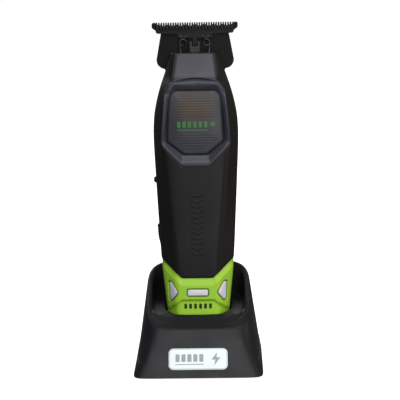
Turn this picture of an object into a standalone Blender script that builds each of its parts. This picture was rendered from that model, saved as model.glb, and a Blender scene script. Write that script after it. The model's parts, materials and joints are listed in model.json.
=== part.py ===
"""Cordless hair clipper with a wide T-blade, standing in its charging dock.

Everything is worked out in millimetres and turned into metres by MM. The dock stands on the ground plane
with its front towards -Y. The clipper is drawn in its own frame, X right, Y back and Z up its axis, with
the origin at the middle of its base, and that frame leans back a little in the dock.
"""

import math

import bmesh
import bpy
from mathutils import Matrix, Vector

MM = 0.001
GAP = 0.3  # clearance between pieces that touch

# Driving dimensions, in mm and degrees
LEAN = 4.0
SEAT = Vector((0.0, 1.5, 13.2))  # world place of the clipper's base
LIFT_TRAVEL = 60.0
WALL = 2.2
SECTION_POINTS = 32

# Housing outline: height, half width, front depth, back depth, squareness of the section
HOUSING = (
    (0.0, 14.6, 13.2, 13.0, 4.4),
    (16.0, 15.8, 14.3, 14.0, 4.2),
    (39.0, 18.1, 15.8, 15.4, 3.5),
    (62.0, 19.4, 16.5, 16.0, 3.1),
    (84.0, 20.5, 17.4, 17.0, 2.8),
    (102.0, 21.2, 18.3, 18.0, 2.6),
    (112.0, 20.7, 18.4, 17.6, 2.6),
    (120.0, 19.2, 17.6, 16.2, 2.6),
    (126.5, 17.4, 15.9, 14.2, 2.7),
    (131.0, 15.9, 12.8, 11.8, 2.9),
    (135.0, 14.5, 11.4, 9.6, 3.1),
    (142.8, 12.2, 9.4, 6.2, 3.4),
)
HOUSING_TOP = 142.8
COLLAR_BOTTOM = 1.5
COLLAR_SHOULDER = 31.4  # the collar's edge, level across the middle
COLLAR_TIP = 40.3  # and risen at the sides
COLLAR_FLAT = 7.7
COLLAR_SIDE = 18.2

# Blade set
TOOTH_PITCH = 1.24
FIXED_TEETH = 33
BLADE_TIP = 158.3
BLADE_ROOT = 155.2
BLADE_FRONT = 5.0
BLADE_THICK = 1.6
CUTTER_PITCH = 1.62
CUTTER_TEETH = 24
CUTTER_TIP = 157.4
CUTTER_ROOT = 154.6
CUTTER_FRONT = 3.2
CUTTER_THICK = 1.5
STROKE = 1.0  # the cutter's throw to each side, which is the eccentric pin's offset

# Dock
DOCK_HALF_WIDTH = 31.8
DOCK_FRONT = -35.0
DOCK_BACK = 35.0
SKIRT_BOTTOM = 0.8
SKIRT_TOP = 7.2
SKIRT_STEP = 0.4
RIM_HALF_WIDTH = 26.0
RIM_FRONT = -22.0
RIM_BACK = 24.0
RIM_FRONT_HEIGHT = 23.0
RIM_SLOPE = 0.555
RIM_SQUARE = 4.4
FOOT_SQUARE = 8.0
DOCK_WALL = 2.4
POCKET_CLEARANCE = 0.8
WELL_HEIGHT = 28.0  # the floor of the recess round the pocket, at the middle of the dock
WELL_SLOPE = 0.1
WELL_INSET = 3.2

for old in list(bpy.data.objects):
    bpy.data.objects.remove(old)

parts = bpy.data.collections.new("hair_clipper")
cutters = bpy.data.collections.new("cutters")
bpy.context.scene.collection.children.link(parts)
bpy.context.scene.collection.children.link(cutters)


# ---------------------------------------------------------------- helpers


def material(name, colour, roughness, metallic=0.0):
    made = bpy.data.materials.new(name)
    made.use_nodes = True
    shader = made.node_tree.nodes["Principled BSDF"]
    shader.inputs["Base Color"].default_value = (*colour, 1.0)
    shader.inputs["Roughness"].default_value = roughness
    shader.inputs["Metallic"].default_value = metallic
    return made


def frame(name, place, lean=0.0, parent=None):
    """An empty that holds a body's pieces, with its origin on the body's joint."""
    empty = bpy.data.objects.new(name, None)
    parts.objects.link(empty)
    empty.location = Vector(place) * MM
    empty.rotation_euler = (math.radians(-lean), 0.0, 0.0)
    empty.parent = parent
    return empty


def finish(name, shape, finish_material, holder=None, angle=35):
    """Turns a bmesh in mm into an object. Without a material it is a cutter."""
    bmesh.ops.recalc_face_normals(shape, faces=shape.faces)
    bmesh.ops.scale(shape, vec=(MM, MM, MM), verts=shape.verts)
    mesh = bpy.data.meshes.new(name)
    shape.to_mesh(mesh)
    shape.free()
    made = bpy.data.objects.new(name, mesh)
    made.parent = holder
    if finish_material is None:
        cutters.objects.link(made)
        made.hide_render = True
        made.display_type = "WIRE"
        return made
    parts.objects.link(made)
    mesh.materials.append(finish_material)
    mesh.shade_smooth()
    mesh.set_sharp_from_angle(angle=math.radians(angle))
    return made


def loft(name, rings, finish_material=None, holder=None, closed=False):
    """Skins rings of equal length. The ends are capped, or joined to each other if closed."""
    shape = bmesh.new()
    rows = [[shape.verts.new(point) for point in ring] for ring in rings]
    count = len(rows[0])
    pairs = list(zip(rows, rows[1:]))
    if closed:
        pairs.append((rows[-1], rows[0]))
    for low, high in pairs:
        for i in range(count):
            k = (i + 1) % count
            shape.faces.new((low[i], low[k], high[k], high[i]))
    bmesh.ops.triangulate(shape, faces=shape.faces)
    if not closed:
        shape.faces.new(rows[0])
        shape.faces.new(rows[-1])
    return finish(name, shape, finish_material, holder)


def box(name, low, high, finish_material=None, holder=None):
    shape = bmesh.new()
    bmesh.ops.create_cube(shape, size=1.0)
    size = Vector(high) - Vector(low)
    middle = (Vector(high) + Vector(low)) / 2
    place = Matrix.Translation(middle) @ Matrix.Diagonal((*size, 1.0))
    bmesh.ops.transform(shape, matrix=place, verts=shape.verts)
    return finish(name, shape, finish_material, holder)


def rod(name, start, end, radius, finish_material=None, holder=None, segments=20, end_radius=None):
    """A cylinder or cone from one point to another."""
    shape = bmesh.new()
    start, end = Vector(start), Vector(end)
    along = end - start
    bmesh.ops.create_cone(
        shape,
        cap_ends=True,
        segments=segments,
        radius1=radius,
        radius2=radius if end_radius is None else end_radius,
        depth=along.length,
    )
    turn = along.to_track_quat("Z", "Y").to_matrix().to_4x4()
    bmesh.ops.transform(shape, matrix=Matrix.Translation((start + end) / 2) @ turn, verts=shape.verts)
    return finish(name, shape, finish_material, holder)


def prism(name, outline, front, back, finish_material=None, holder=None):
    """Extrudes an outline of (x, z) points along Y, from front to back."""
    shape = bmesh.new()
    face = shape.faces.new([shape.verts.new((x, front, z)) for x, z in outline])
    made = bmesh.ops.extrude_face_region(shape, geom=[face], use_keep_orig=True)["geom"]
    moved = [item for item in made if isinstance(item, bmesh.types.BMVert)]
    bmesh.ops.translate(shape, vec=(0.0, back - front, 0.0), verts=moved)
    return finish(name, shape, finish_material, holder)


def wire(name, points, radius, finish_material, holder):
    """A round wire through the points, in mm."""
    curve = bpy.data.curves.new(name, "CURVE")
    curve.dimensions = "3D"
    curve.bevel_depth = radius * MM
    curve.bevel_resolution = 1
    curve.use_fill_caps = True
    spline = curve.splines.new("POLY")
    spline.points.add(len(points) - 1)
    for target, point in zip(spline.points, points):
        target.co = (*(Vector(point) * MM), 1.0)
    curve.materials.append(finish_material)
    made = bpy.data.objects.new(name, curve)
    made.parent = holder
    parts.objects.link(made)
    return made


def combine(target, tool, operation):
    modifier = target.modifiers.new(f"{operation.lower()}_{tool.name}"[:60], "BOOLEAN")
    modifier.operation = operation
    modifier.object = tool
    return target


def cut(target, *tools):
    for tool in tools:
        combine(target, tool, "DIFFERENCE")
    return target


def join(target, *tools):
    for tool in tools:
        combine(target, tool, "UNION")
    return target


def mirrored(outline):
    """The right half of an outline, top to bottom or bottom to top, completed with its left half."""
    return list(outline) + [(-x, z) for x, z in reversed(outline)]


def rounded(outline, radii, steps=4):
    """Replaces each corner of a closed (x, z) outline by an arc of its own radius."""
    made = []
    count = len(outline)
    for i, radius in enumerate(radii):
        corner = Vector(outline[i])
        before = (Vector(outline[i - 1]) - corner).normalized()
        after = (Vector(outline[(i + 1) % count]) - corner).normalized()
        half = before.angle(after) / 2
        reach = radius / math.tan(half)
        centre = corner + (before + after).normalized() * (radius / math.sin(half))
        start = corner + before * reach - centre
        end = corner + after * reach - centre
        for k in range(steps + 1):
            spoke = start.lerp(end, k / steps).normalized() * radius
            made.append(tuple(centre + spoke))
    return made


# ---------------------------------------------------------------- housing sections


def smooth_row(height):
    """The housing's outline at a height, by a cubic through the stations around it."""
    rows = HOUSING
    height = min(max(height, rows[0][0]), rows[-1][0])
    i = max(k for k in range(len(rows) - 1) if rows[k][0] <= height)
    span = rows[i + 1][0] - rows[i][0]
    t = (height - rows[i][0]) / span

    def slope(k, column):
        low, high = max(k - 1, 0), min(k + 1, len(rows) - 1)
        return (rows[high][column] - rows[low][column]) / (rows[high][0] - rows[low][0])

    made = []
    for column in range(1, 5):
        a, b = rows[i][column], rows[i + 1][column]
        rise, fall = slope(i, column) * span, slope(i + 1, column) * span
        made.append(
            a * (1 + 2 * t) * (1 - t) ** 2
            + rise * t * (1 - t) ** 2
            + b * t * t * (3 - 2 * t)
            + fall * t * t * (t - 1)
        )
    return made


def section_point(height, turn, inset=0.0):
    """A point of the housing's section. turn runs from +X through +Y, the back."""
    half, front, back, square = smooth_row(height)
    centre = (back - front) / 2
    depth = (back + front) / 2 - inset
    c, s = math.cos(turn), math.sin(turn)
    x = math.copysign(abs(c) ** (2 / square), c) * (half - inset)
    y = math.copysign(abs(s) ** (2 / square), s) * depth
    return Vector((x, centre + y, height))


def section(height, inset=0.0):
    """The whole section as a ring."""
    turns = (2 * math.pi * k / SECTION_POINTS for k in range(SECTION_POINTS))
    return [section_point(height, turn, inset) for turn in turns]


def half_section(height, side, outer, inner):
    """One half of a hollow section, the front with side -1 or the back with side 1."""
    steps = SECTION_POINTS // 2
    turns = [side * math.pi * k / steps for k in range(steps + 1)]
    parting = section_point(height, 0.0).y + side * GAP / 2

    def held(point):
        point.y = min(point.y, parting) if side < 0 else max(point.y, parting)
        return point

    skin = [held(section_point(height, turn, outer)) for turn in turns]
    lining = [held(section_point(height, turn, inner)) for turn in reversed(turns)]
    return skin + lining


def heights(low, high, step):
    count = max(1, round((high - low) / step))
    return [low + (high - low) * k / count for k in range(count + 1)]


def half_shell(name, side, low, high, outer, inner, finish_material, holder, step=8.0):
    rings = [half_section(h, side, outer, inner) for h in heights(low, high, step)]
    return loft(name, rings, finish_material, holder)


# ---------------------------------------------------------------- materials

black_shell = material("black_shell", (0.02, 0.019, 0.02), 0.42)
dock_black = material("dock_black", (0.035, 0.034, 0.038), 0.4)
green_collar = material("green_collar", (0.27, 0.5, 0.04), 0.35)
gunmetal = material("gunmetal", (0.09, 0.095, 0.12), 0.38, 0.6)
dark_lens = material("dark_lens", (0.05, 0.045, 0.045), 0.3)
black_blade = material("black_blade", (0.008, 0.008, 0.008), 0.35, 0.8)
spring_steel = material("spring_steel", (0.5, 0.5, 0.5), 0.3, 1.0)
white_light = material("white_light", (0.7, 0.7, 0.75), 0.3)
white_label = material("white_label", (0.8, 0.85, 0.85), 0.35)
inner_plastic = material("inner_plastic", (0.12, 0.12, 0.13), 0.5)
motor_steel = material("motor_steel", (0.45, 0.45, 0.46), 0.35, 1.0)
copper = material("copper", (0.65, 0.3, 0.15), 0.4, 1.0)
brass = material("brass", (0.75, 0.6, 0.25), 0.3, 1.0)
board_green = material("board_green", (0.02, 0.2, 0.08), 0.5)
battery_blue = material("battery_blue", (0.05, 0.2, 0.55), 0.45)
rubber = material("rubber", (0.02, 0.02, 0.02), 0.8)

# ---------------------------------------------------------------- frames of the moving bodies

clipper = frame("clipper_frame", SEAT, LEAN)
seat = frame("dock_seat_frame", SEAT, LEAN)


# ---------------------------------------------------------------- dock


def squircle(half, front, back, square, turn):
    c, s = math.cos(turn), math.sin(turn)
    x = math.copysign(abs(c) ** (2 / square), c) * half
    y = math.copysign(abs(s) ** (2 / square), s) * (back - front) / 2
    return x, (back + front) / 2 + y


def rim_height(y):
    return RIM_FRONT_HEIGHT + (y - RIM_FRONT) * RIM_SLOPE


def well_height(y):
    """Height of the recess's floor, which runs out on the sloping top at the front."""
    return min(WELL_HEIGHT + y * WELL_SLOPE, rim_height(y) - 0.5)


def dock_turns():
    return [2 * math.pi * k / SECTION_POINTS for k in range(SECTION_POINTS)]


def base_ring(height, inset=0.0, step_out=0.0):
    """The dock's outline near the ground. The skirt stands out only at the sides."""
    share = (height - SKIRT_BOTTOM) / (RIM_FRONT_HEIGHT - SKIRT_BOTTOM)
    ring = []
    for turn in dock_turns():
        foot = squircle(
            DOCK_HALF_WIDTH - inset, DOCK_FRONT + inset, DOCK_BACK - inset, FOOT_SQUARE, turn
        )
        top = squircle(
            RIM_HALF_WIDTH - inset, RIM_FRONT + inset, RIM_BACK - inset, RIM_SQUARE, turn
        )
        part = share * (RIM_FRONT_HEIGHT - SKIRT_BOTTOM) / (rim_height(top[1]) - SKIRT_BOTTOM)
        x = foot[0] + (top[0] - foot[0]) * part
        y = foot[1] + (top[1] - foot[1]) * part
        ring.append((x * (1 + step_out / DOCK_HALF_WIDTH), y, height))
    return ring


def side_ring(inset, drop):
    """A ring on the dock's side, in from it by inset and below the recess's floor by drop."""
    ring = []
    for k, turn in enumerate(dock_turns()):
        top = squircle(
            RIM_HALF_WIDTH - inset, RIM_FRONT + inset, RIM_BACK - inset, RIM_SQUARE, turn
        )
        ring.append(base_ring(well_height(top[1]) - drop, inset)[k])
    return ring


def rim_ring(inset, drop):
    """A ring that follows the sloping top, in from its edge by inset and below its plane by drop."""
    ring = []
    for turn in dock_turns():
        x, y = squircle(
            RIM_HALF_WIDTH - inset, RIM_FRONT + inset, RIM_BACK - inset, RIM_SQUARE, turn
        )
        ring.append((x, y, rim_height(y) - drop))
    return ring


def seat_point(turn, height, grow):
    """A point of the pocket's wall, the clipper's outline grown by its clearance, in the world."""
    return seat_matrix @ section_point(height, turn, -grow)


def well_ring(inset, lift):
    """The edge of the recess's floor, in from the rim by inset."""
    return [(x, y, well_height(y) + lift) for x, y, _ in rim_ring(inset, 0.0)]


def pocket_ring(grow, drop):
    """Where the pocket's wall meets the floor of the recess, lowered by drop."""
    ring = []
    for turn in dock_turns():
        low, high = 0.0, 60.0
        for _ in range(30):
            middle = (low + high) / 2
            point = seat_point(turn, middle, grow)
            if point.z < well_height(point.y) - drop:
                low = middle
            else:
                high = middle
        ring.append(seat_point(turn, low, grow))
    return ring


seat_matrix = Matrix.Translation(SEAT) @ Matrix.Rotation(math.radians(-LEAN), 4, "X")


def make_dock_shell():
    """One skin from the pocket's floor over the top and down the sides, then back up inside."""
    rings = [
        [seat_point(turn, -GAP, POCKET_CLEARANCE) for turn in dock_turns()],
        pocket_ring(POCKET_CLEARANCE, 0.8),
        pocket_ring(POCKET_CLEARANCE + 0.6, 0.0),
        well_ring(WELL_INSET + 1.0, 0.0),
        well_ring(WELL_INSET, 0.3),
        rim_ring(2.0, 0.0),
        rim_ring(0.6, 0.5),
        rim_ring(0.0, 1.8),
        base_ring(SKIRT_TOP + 0.3),
        base_ring(SKIRT_TOP, step_out=SKIRT_STEP),
        base_ring(SKIRT_BOTTOM, step_out=SKIRT_STEP),
        base_ring(SKIRT_BOTTOM, inset=DOCK_WALL),
        base_ring(SKIRT_TOP, inset=DOCK_WALL),
        side_ring(DOCK_WALL, DOCK_WALL),
        pocket_ring(POCKET_CLEARANCE + DOCK_WALL, DOCK_WALL),
        [seat_point(turn, -GAP - DOCK_WALL, POCKET_CLEARANCE + DOCK_WALL) for turn in dock_turns()],
    ]
    return loft("dock_shell", rings, dock_black)


DOCK_SCREWS = ((19.0, -15.5, 24.9), (19.0, 15.0, 28.2))  # right side: x, y and the boss's top
PLATE_LOW = 1.3
PLATE_HIGH = 3.3
CONTACT_X = 5.0
PIN_RADIUS = 1.0
PIN_TRAVEL = 1.2


def make_dock():
    shell = make_dock_shell()
    plate = loft(
        "dock_base_plate",
        [base_ring(PLATE_LOW, DOCK_WALL + GAP), base_ring(PLATE_HIGH, DOCK_WALL + GAP)],
        inner_plastic,
    )
    for y_name, (x, y, top) in zip(("front", "rear"), DOCK_SCREWS):
        for side, sign in (("left", -1), ("right", 1)):
            tag = f"{y_name}_{side}"
            place = Vector((x * sign, y, 0.0))
            boss = rod(f"boss_{tag}", place + Vector((0, 0, 3.8)), place + Vector((0, 0, top)), 3.0)
            pilot = rod(f"pilot_{tag}", place, place + Vector((0, 0, 11.0)), 1.4, segments=12)
            sink = rod(f"sink_{tag}", place, place + Vector((0, 0, 2.4)), 2.9, segments=16)
            join(shell, boss)
            cut(shell, pilot)
            cut(plate, pilot, sink)
            screw = rod(
                f"dock_screw_{tag}",
                place + Vector((0, 0, 1.4)),
                place + Vector((0, 0, 2.1)),
                2.4,
                motor_steel,
                segments=16,
            )
            shank = rod(
                f"shank_{tag}",
                place + Vector((0, 0, 1.8)),
                place + Vector((0, 0, 10.5)),
                1.0,
                segments=12,
            )
            join(screw, shank)
    for y_name, y in (("front", -25.0), ("rear", 25.5)):
        for side, x in (("left", -19.5), ("right", 19.5)):
            tag = f"{y_name}_{side}"
            well = rod(f"well_{tag}", (x, y, 0.0), (x, y, 2.0), 4.3, segments=24)
            cut(plate, well)
            rod(f"dock_foot_{tag}", (x, y, 0.0), (x, y, 1.7), 4.0, rubber, segments=24)
    box("dock_ballast", (-14.5, -25.0, 3.7), (14.5, -16.5, 10.5), motor_steel)
    box("dock_circuit_board", (-13.0, 7.5, 4.4), (13.0, 29.0, 6.0), board_green)
    make_dock_contacts(shell)
    make_dock_socket(shell)
    make_label(shell)


def make_dock_contacts(shell):
    """Two sprung pins that reach through the pocket's floor to the pads under the clipper."""
    block = box("contact_block", (-9.0, -4.5, -8.2), (9.0, 4.5, -3.0), inner_plastic, seat)
    for side, sign in (("left", -1), ("right", 1)):
        x = sign * CONTACT_X
        well = rod(f"pin_well_{side}", (x, 0, -7.6), (x, 0, -1.0), 2.1, holder=seat)
        bore = rod(f"pin_bore_{side}", (x, 0, -4.0), (x, 0, 1.0), PIN_RADIUS + GAP, holder=seat)
        cut(block, well)
        cut(shell, bore)
        holder = frame(f"contact_pin_{side}_frame", (x, 0.0, -4.0), parent=seat)
        pin = rod(f"contact_pin_{side}", (0, 0, -0.8), (0, 0, 3.7), PIN_RADIUS, brass, holder)
        join(pin, rod(f"pin_flange_{side}", (0, 0, 0.0), (0, 0, 0.7), 1.7, holder=holder))
        turns, steps, low, high, coil = 3.0, 10, -7.2, -4.55, 1.45
        coil_points = [
            (
                x + coil * math.cos(2 * math.pi * k / steps),
                coil * math.sin(2 * math.pi * k / steps),
                low + (high - low) * k / (turns * steps),
            )
            for k in range(int(turns * steps) + 1)
        ]
        wire(f"contact_spring_{side}", coil_points, 0.2, spring_steel, seat)


def make_dock_socket(shell):
    """The charging inlet at the back."""
    low, high, back = 6.3, 9.5, 31.0
    socket = box("dock_power_socket", (-4.5, 23.0, low), (4.5, back, high), motor_steel)
    mouth = box("socket_mouth", (-4.15, 24.2, low + 0.35), (4.15, back + 1, high - 0.35))
    tongue = box("socket_tongue", (-3.3, 23.6, low + 1.25), (3.3, back - 0.8, high - 1.25))
    cut(socket, mouth)
    join(socket, tongue)
    cut(shell, box("socket_opening", (-5.0, 26.0, low - 0.4), (5.0, 36.0, high + 0.4)))


LABEL_HALF_WIDTH = 14.4
LABEL_HALF_HEIGHT = 5.4
LABEL_THICK = 1.0


def make_label(shell):
    """The blank plate let into the dock's sloping front."""
    lean = math.atan2(RIM_FRONT - DOCK_FRONT, RIM_FRONT_HEIGHT - SKIRT_BOTTOM)
    height = 9.2
    y = DOCK_FRONT + (height - SKIRT_BOTTOM) * math.tan(lean)
    holder = frame("label_frame", (0.0, y, height), math.degrees(lean))
    corners = [
        (LABEL_HALF_WIDTH, -LABEL_HALF_HEIGHT),
        (LABEL_HALF_WIDTH, LABEL_HALF_HEIGHT),
        (-LABEL_HALF_WIDTH, LABEL_HALF_HEIGHT),
        (-LABEL_HALF_WIDTH, -LABEL_HALF_HEIGHT),
    ]
    outline = rounded(corners, [2.4] * 4)
    prism("dock_label_plate", outline, -0.2, LABEL_THICK - 0.2, white_label, holder)
    wider = 1 + 2 * GAP / LABEL_HALF_HEIGHT / 2
    well = [(x * (1 + GAP / LABEL_HALF_WIDTH), z * wider) for x, z in outline]
    cut(shell, prism("label_well", well, -3.0, LABEL_THICK + 0.1, holder=holder))


# ---------------------------------------------------------------- clipper casing

WINDOW = [(13.3, 124.6), (15.2, 99.3), (6.3, 92.6)]  # right half of the lens opening, downwards
WINDOW_RADII = [5.0, 2.0, 1.5]
BEZEL = [(14.6, 127.2), (17.3, 97.6), (6.9, 87.0)]
BEZEL_RADII = [7.0, 2.6, 2.0]
BEZEL_EDGE = 0.7  # the bezel's flat edge, before it slopes in
BEZEL_DEPTH = 1.9
NECK_PLATE = [(9.7, 142.9), (11.4, 128.4), (6.0, 129.9), (0.8, 130.4)]
NECK_PLATE_TOP = 142.5
LIGHT_BAR = (5.2, 22.4, 25.6)  # half width, low and high edge of the middle light
LIGHT_SIDE = [(14.5, 31.0), (14.1, 18.8), (10.1, 24.2)]
GROOVES = 12
GROOVE_LOW = 42.4
GROOVE_HIGH = 74.0
BUTTON_HEIGHT = 79.7
SLIDER_LOW = 45.2
SLIDER_HIGH = 57.7
SLIDER_TRAVEL = 3.0
BUTTON_TRAVEL = 0.6
CASE_SCREWS = ((13.6, 125.0), (13.9, 42.0))


def outline_of(half, radii, grow=0.0):
    """A symmetric rounded outline, grown outwards by about grow."""
    points = [(x + grow, z) for x, z in half]
    points[0] = (points[0][0], points[0][1] + grow)
    points[-1] = (points[-1][0], points[-1][1] - grow)
    return rounded(mirrored(points), list(radii) + list(reversed(radii)))


def collar_line(shift):
    """The stepped edge between casing and collar, from left to right, raised by shift."""
    return [
        (-30.0, COLLAR_TIP + 9.0 + shift),
        (-COLLAR_SIDE, COLLAR_TIP + shift),
        (-COLLAR_FLAT, COLLAR_SHOULDER + shift),
        (COLLAR_FLAT, COLLAR_SHOULDER + shift),
        (COLLAR_SIDE, COLLAR_TIP + shift),
        (30.0, COLLAR_TIP + 9.0 + shift),
    ]


def make_casing():
    front = half_shell(
        "front_housing", -1, COLLAR_SHOULDER - 2, HOUSING_TOP, 0.0, WALL, black_shell, clipper
    )
    rear = half_shell(
        "rear_housing", 1, COLLAR_SHOULDER - 2, HOUSING_TOP, 0.0, WALL, black_shell, clipper
    )
    below = prism(
        "below_collar_line",
        collar_line(GAP / 2) + [(30.0, 0.0), (-30.0, 0.0)],
        -30.0,
        30.0,
        holder=clipper,
    )
    cut(front, below)
    cut(rear, below)
    make_casing_screws(front, rear)

    opening = outline_of(BEZEL, BEZEL_RADII, GAP / 2)
    cut(front, prism("window_opening", opening, -30.0, -5.0, holder=clipper))
    bezel = half_shell("window_bezel", -1, 84.0, 131.0, 0.0, 3.4, gunmetal, clipper, 5.0)
    body = prism("bezel_outline", outline_of(BEZEL, BEZEL_RADII, -GAP / 2), -30.0, -5.0, holder=clipper)
    combine(bezel, body, "INTERSECT")
    cut(bezel, make_bezel_hole())
    lens = half_shell("window_lens", -1, 88.0, 128.0, 2.0, 3.5, dark_lens, clipper, 5.0)
    glass = prism("lens_outline", outline_of(WINDOW, WINDOW_RADII, -GAP / 2), -30.0, -5.0, holder=clipper)
    combine(lens, glass, "INTERSECT")

    trough = mirrored([(x + GAP / 2, z) for x, z in NECK_PLATE])
    trough = [(x, z + 2.0 if z > 140 else z - GAP / 2) for x, z in trough]
    cut(front, prism("neck_plate_opening", trough, -20.0, -3.0, holder=clipper))
    plate = half_shell("neck_plate", -1, 127.0, NECK_PLATE_TOP, 0.3, 2.0, gunmetal, clipper, 3.0)
    edge = mirrored([(x - GAP / 2, z + GAP / 2) for x, z in NECK_PLATE])
    combine(plate, prism("neck_plate_outline", edge, -20.0, -3.0, holder=clipper), "INTERSECT")

    for k in range(GROOVES):
        low = GROOVE_LOW + (GROOVE_HIGH - GROOVE_LOW) * k / GROOVES
        floor = section_point(low, -math.pi / 2).y + 0.5
        cut(front, box(f"groove_{k}", (-2.6, -20.0, low), (4.2, floor, low + 1.3), holder=clipper))

    step_low = 133.9
    nose = box("nose_wall", (-10.0, 4.0, 131.6), (10.0, 9.0, step_low + 0.5), holder=clipper)
    relief = box("blade_relief", (-25.0, 4.85, step_low), (25.0, 25.0, 150.0), holder=clipper)
    pocket = box("bracket_pocket", (-9.95, 1.4, 135.1), (9.95, 9.6, 149.0), holder=clipper)
    join(rear, nose)
    cut(rear, pocket, relief)
    return front, rear


def front_y(x, height):
    """Where the casing's front surface is, at a place across it."""
    half, front, back, square = smooth_row(height)
    return (back - front) / 2 - (back + front) / 2 * (1 - abs(x / half) ** square) ** (1 / square)


def make_bezel_hole():
    """Slopes in from the bezel's edge at the surface to the window's edge, then goes straight through."""
    wide = outline_of(BEZEL, BEZEL_RADII, -BEZEL_EDGE)
    narrow = outline_of(WINDOW, WINDOW_RADII, GAP / 2)
    rings = [
        [(x, -30.0, z) for x, z in wide],
        [(x, front_y(x, z), z) for x, z in wide],
        [(x, front_y(x, z) + BEZEL_DEPTH, z) for x, z in narrow],
        [(x, -5.0, z) for x, z in narrow],
    ]
    return loft("bezel_hole", rings, holder=clipper)


def make_casing_screws(front, rear):
    """Four screws from the back, through posts in both halves of the casing."""
    for row, (x, height) in zip(("upper", "lower"), CASE_SCREWS):
        for side, sign in (("left", -1), ("right", 1)):
            tag = f"{row}_{side}"
            spot = Vector((x * sign, section_point(height, 0.0).y, height))

            def at(y):
                return spot + Vector((0.0, y, 0.0))

            join(front, rod(f"front_post_{tag}", at(-7.0), at(-0.6), 2.6, holder=clipper, segments=14))
            join(rear, rod(f"rear_post_{tag}", at(0.6), at(8.4), 2.6, holder=clipper, segments=14))
            pilot = rod(f"case_pilot_{tag}", at(-6.2), at(25.0), 1.3, holder=clipper, segments=10)
            sink = rod(f"case_sink_{tag}", at(7.4), at(25.0), 2.2, holder=clipper, segments=14)
            cut(front, pilot)
            cut(rear, pilot, sink)
            screw = rod(
                f"case_screw_{tag}", at(7.7), at(9.0), 1.9, motor_steel, clipper, segments=14
            )
            join(screw, rod(f"case_shank_{tag}", at(-5.8), at(8.0), 1.0, holder=clipper, segments=10))


def make_collar():
    low, high = COLLAR_BOTTOM, COLLAR_TIP + 2.0
    skin = [section(h) for h in heights(low, high, 8.0)]
    lining = [section(h, WALL) for h in reversed(heights(low, high, 8.0))]
    collar = loft("base_collar", skin + lining, green_collar, clipper, closed=True)
    above = collar_line(-GAP / 2) + [(30.0, 80.0), (-30.0, 80.0)]
    cut(collar, prism("above_collar_line", above, -30.0, 30.0, holder=clipper))

    half, light_low, light_high = LIGHT_BAR
    bar = [(half, light_low), (half, light_high), (-half, light_high), (-half, light_low)]
    make_light(collar, "center", rounded(bar, [0.7] * 4, 2), 0.0)
    for side, sign in (("left", -1), ("right", 1)):
        corners = [(x * sign, z) for x, z in LIGHT_SIDE]
        make_light(collar, side, rounded(corners, [0.7, 0.7, 1.0], 2), 0.0)


def make_light(collar, tag, outline, depth):
    """A light window of the collar: an opening, and the diffuser that fills it."""
    cx = sum(x for x, _ in outline) / len(outline)
    cz = sum(z for _, z in outline) / len(outline)
    reach = max(math.hypot(x - cx, z - cz) for x, z in outline)
    share = 1 + GAP / reach * 1.6
    opening = [(cx + (x - cx) * share, cz + (z - cz) * share) for x, z in outline]
    cut(collar, prism(f"light_opening_{tag}", opening, -20.0, -5.0, holder=clipper))
    light = half_shell(f"base_light_{tag}", -1, 15.0, 32.0, depth, WALL, white_light, clipper, 4.0)
    body = prism(f"light_outline_{tag}", outline, -20.0, -5.0, holder=clipper)
    combine(light, body, "INTERSECT")


def make_base_cap():
    rings = [section(0.0, 1.2), section(1.2), section(1.2, WALL + GAP), section(4.2, WALL + GAP)]
    cap = loft("base_cap", rings, black_shell, clipper)
    for side, sign in (("left", -1), ("right", 1)):
        x = sign * CONTACT_X
        cut(cap, rod(f"pad_well_{side}", (x, 0, -1.0), (x, 0, 1.2), 2.6, holder=clipper))
        rod(f"contact_pad_{side}", (x, 0, 0.0), (x, 0, 0.9), 2.2, brass, clipper)


# ---------------------------------------------------------------- clipper controls


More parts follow.
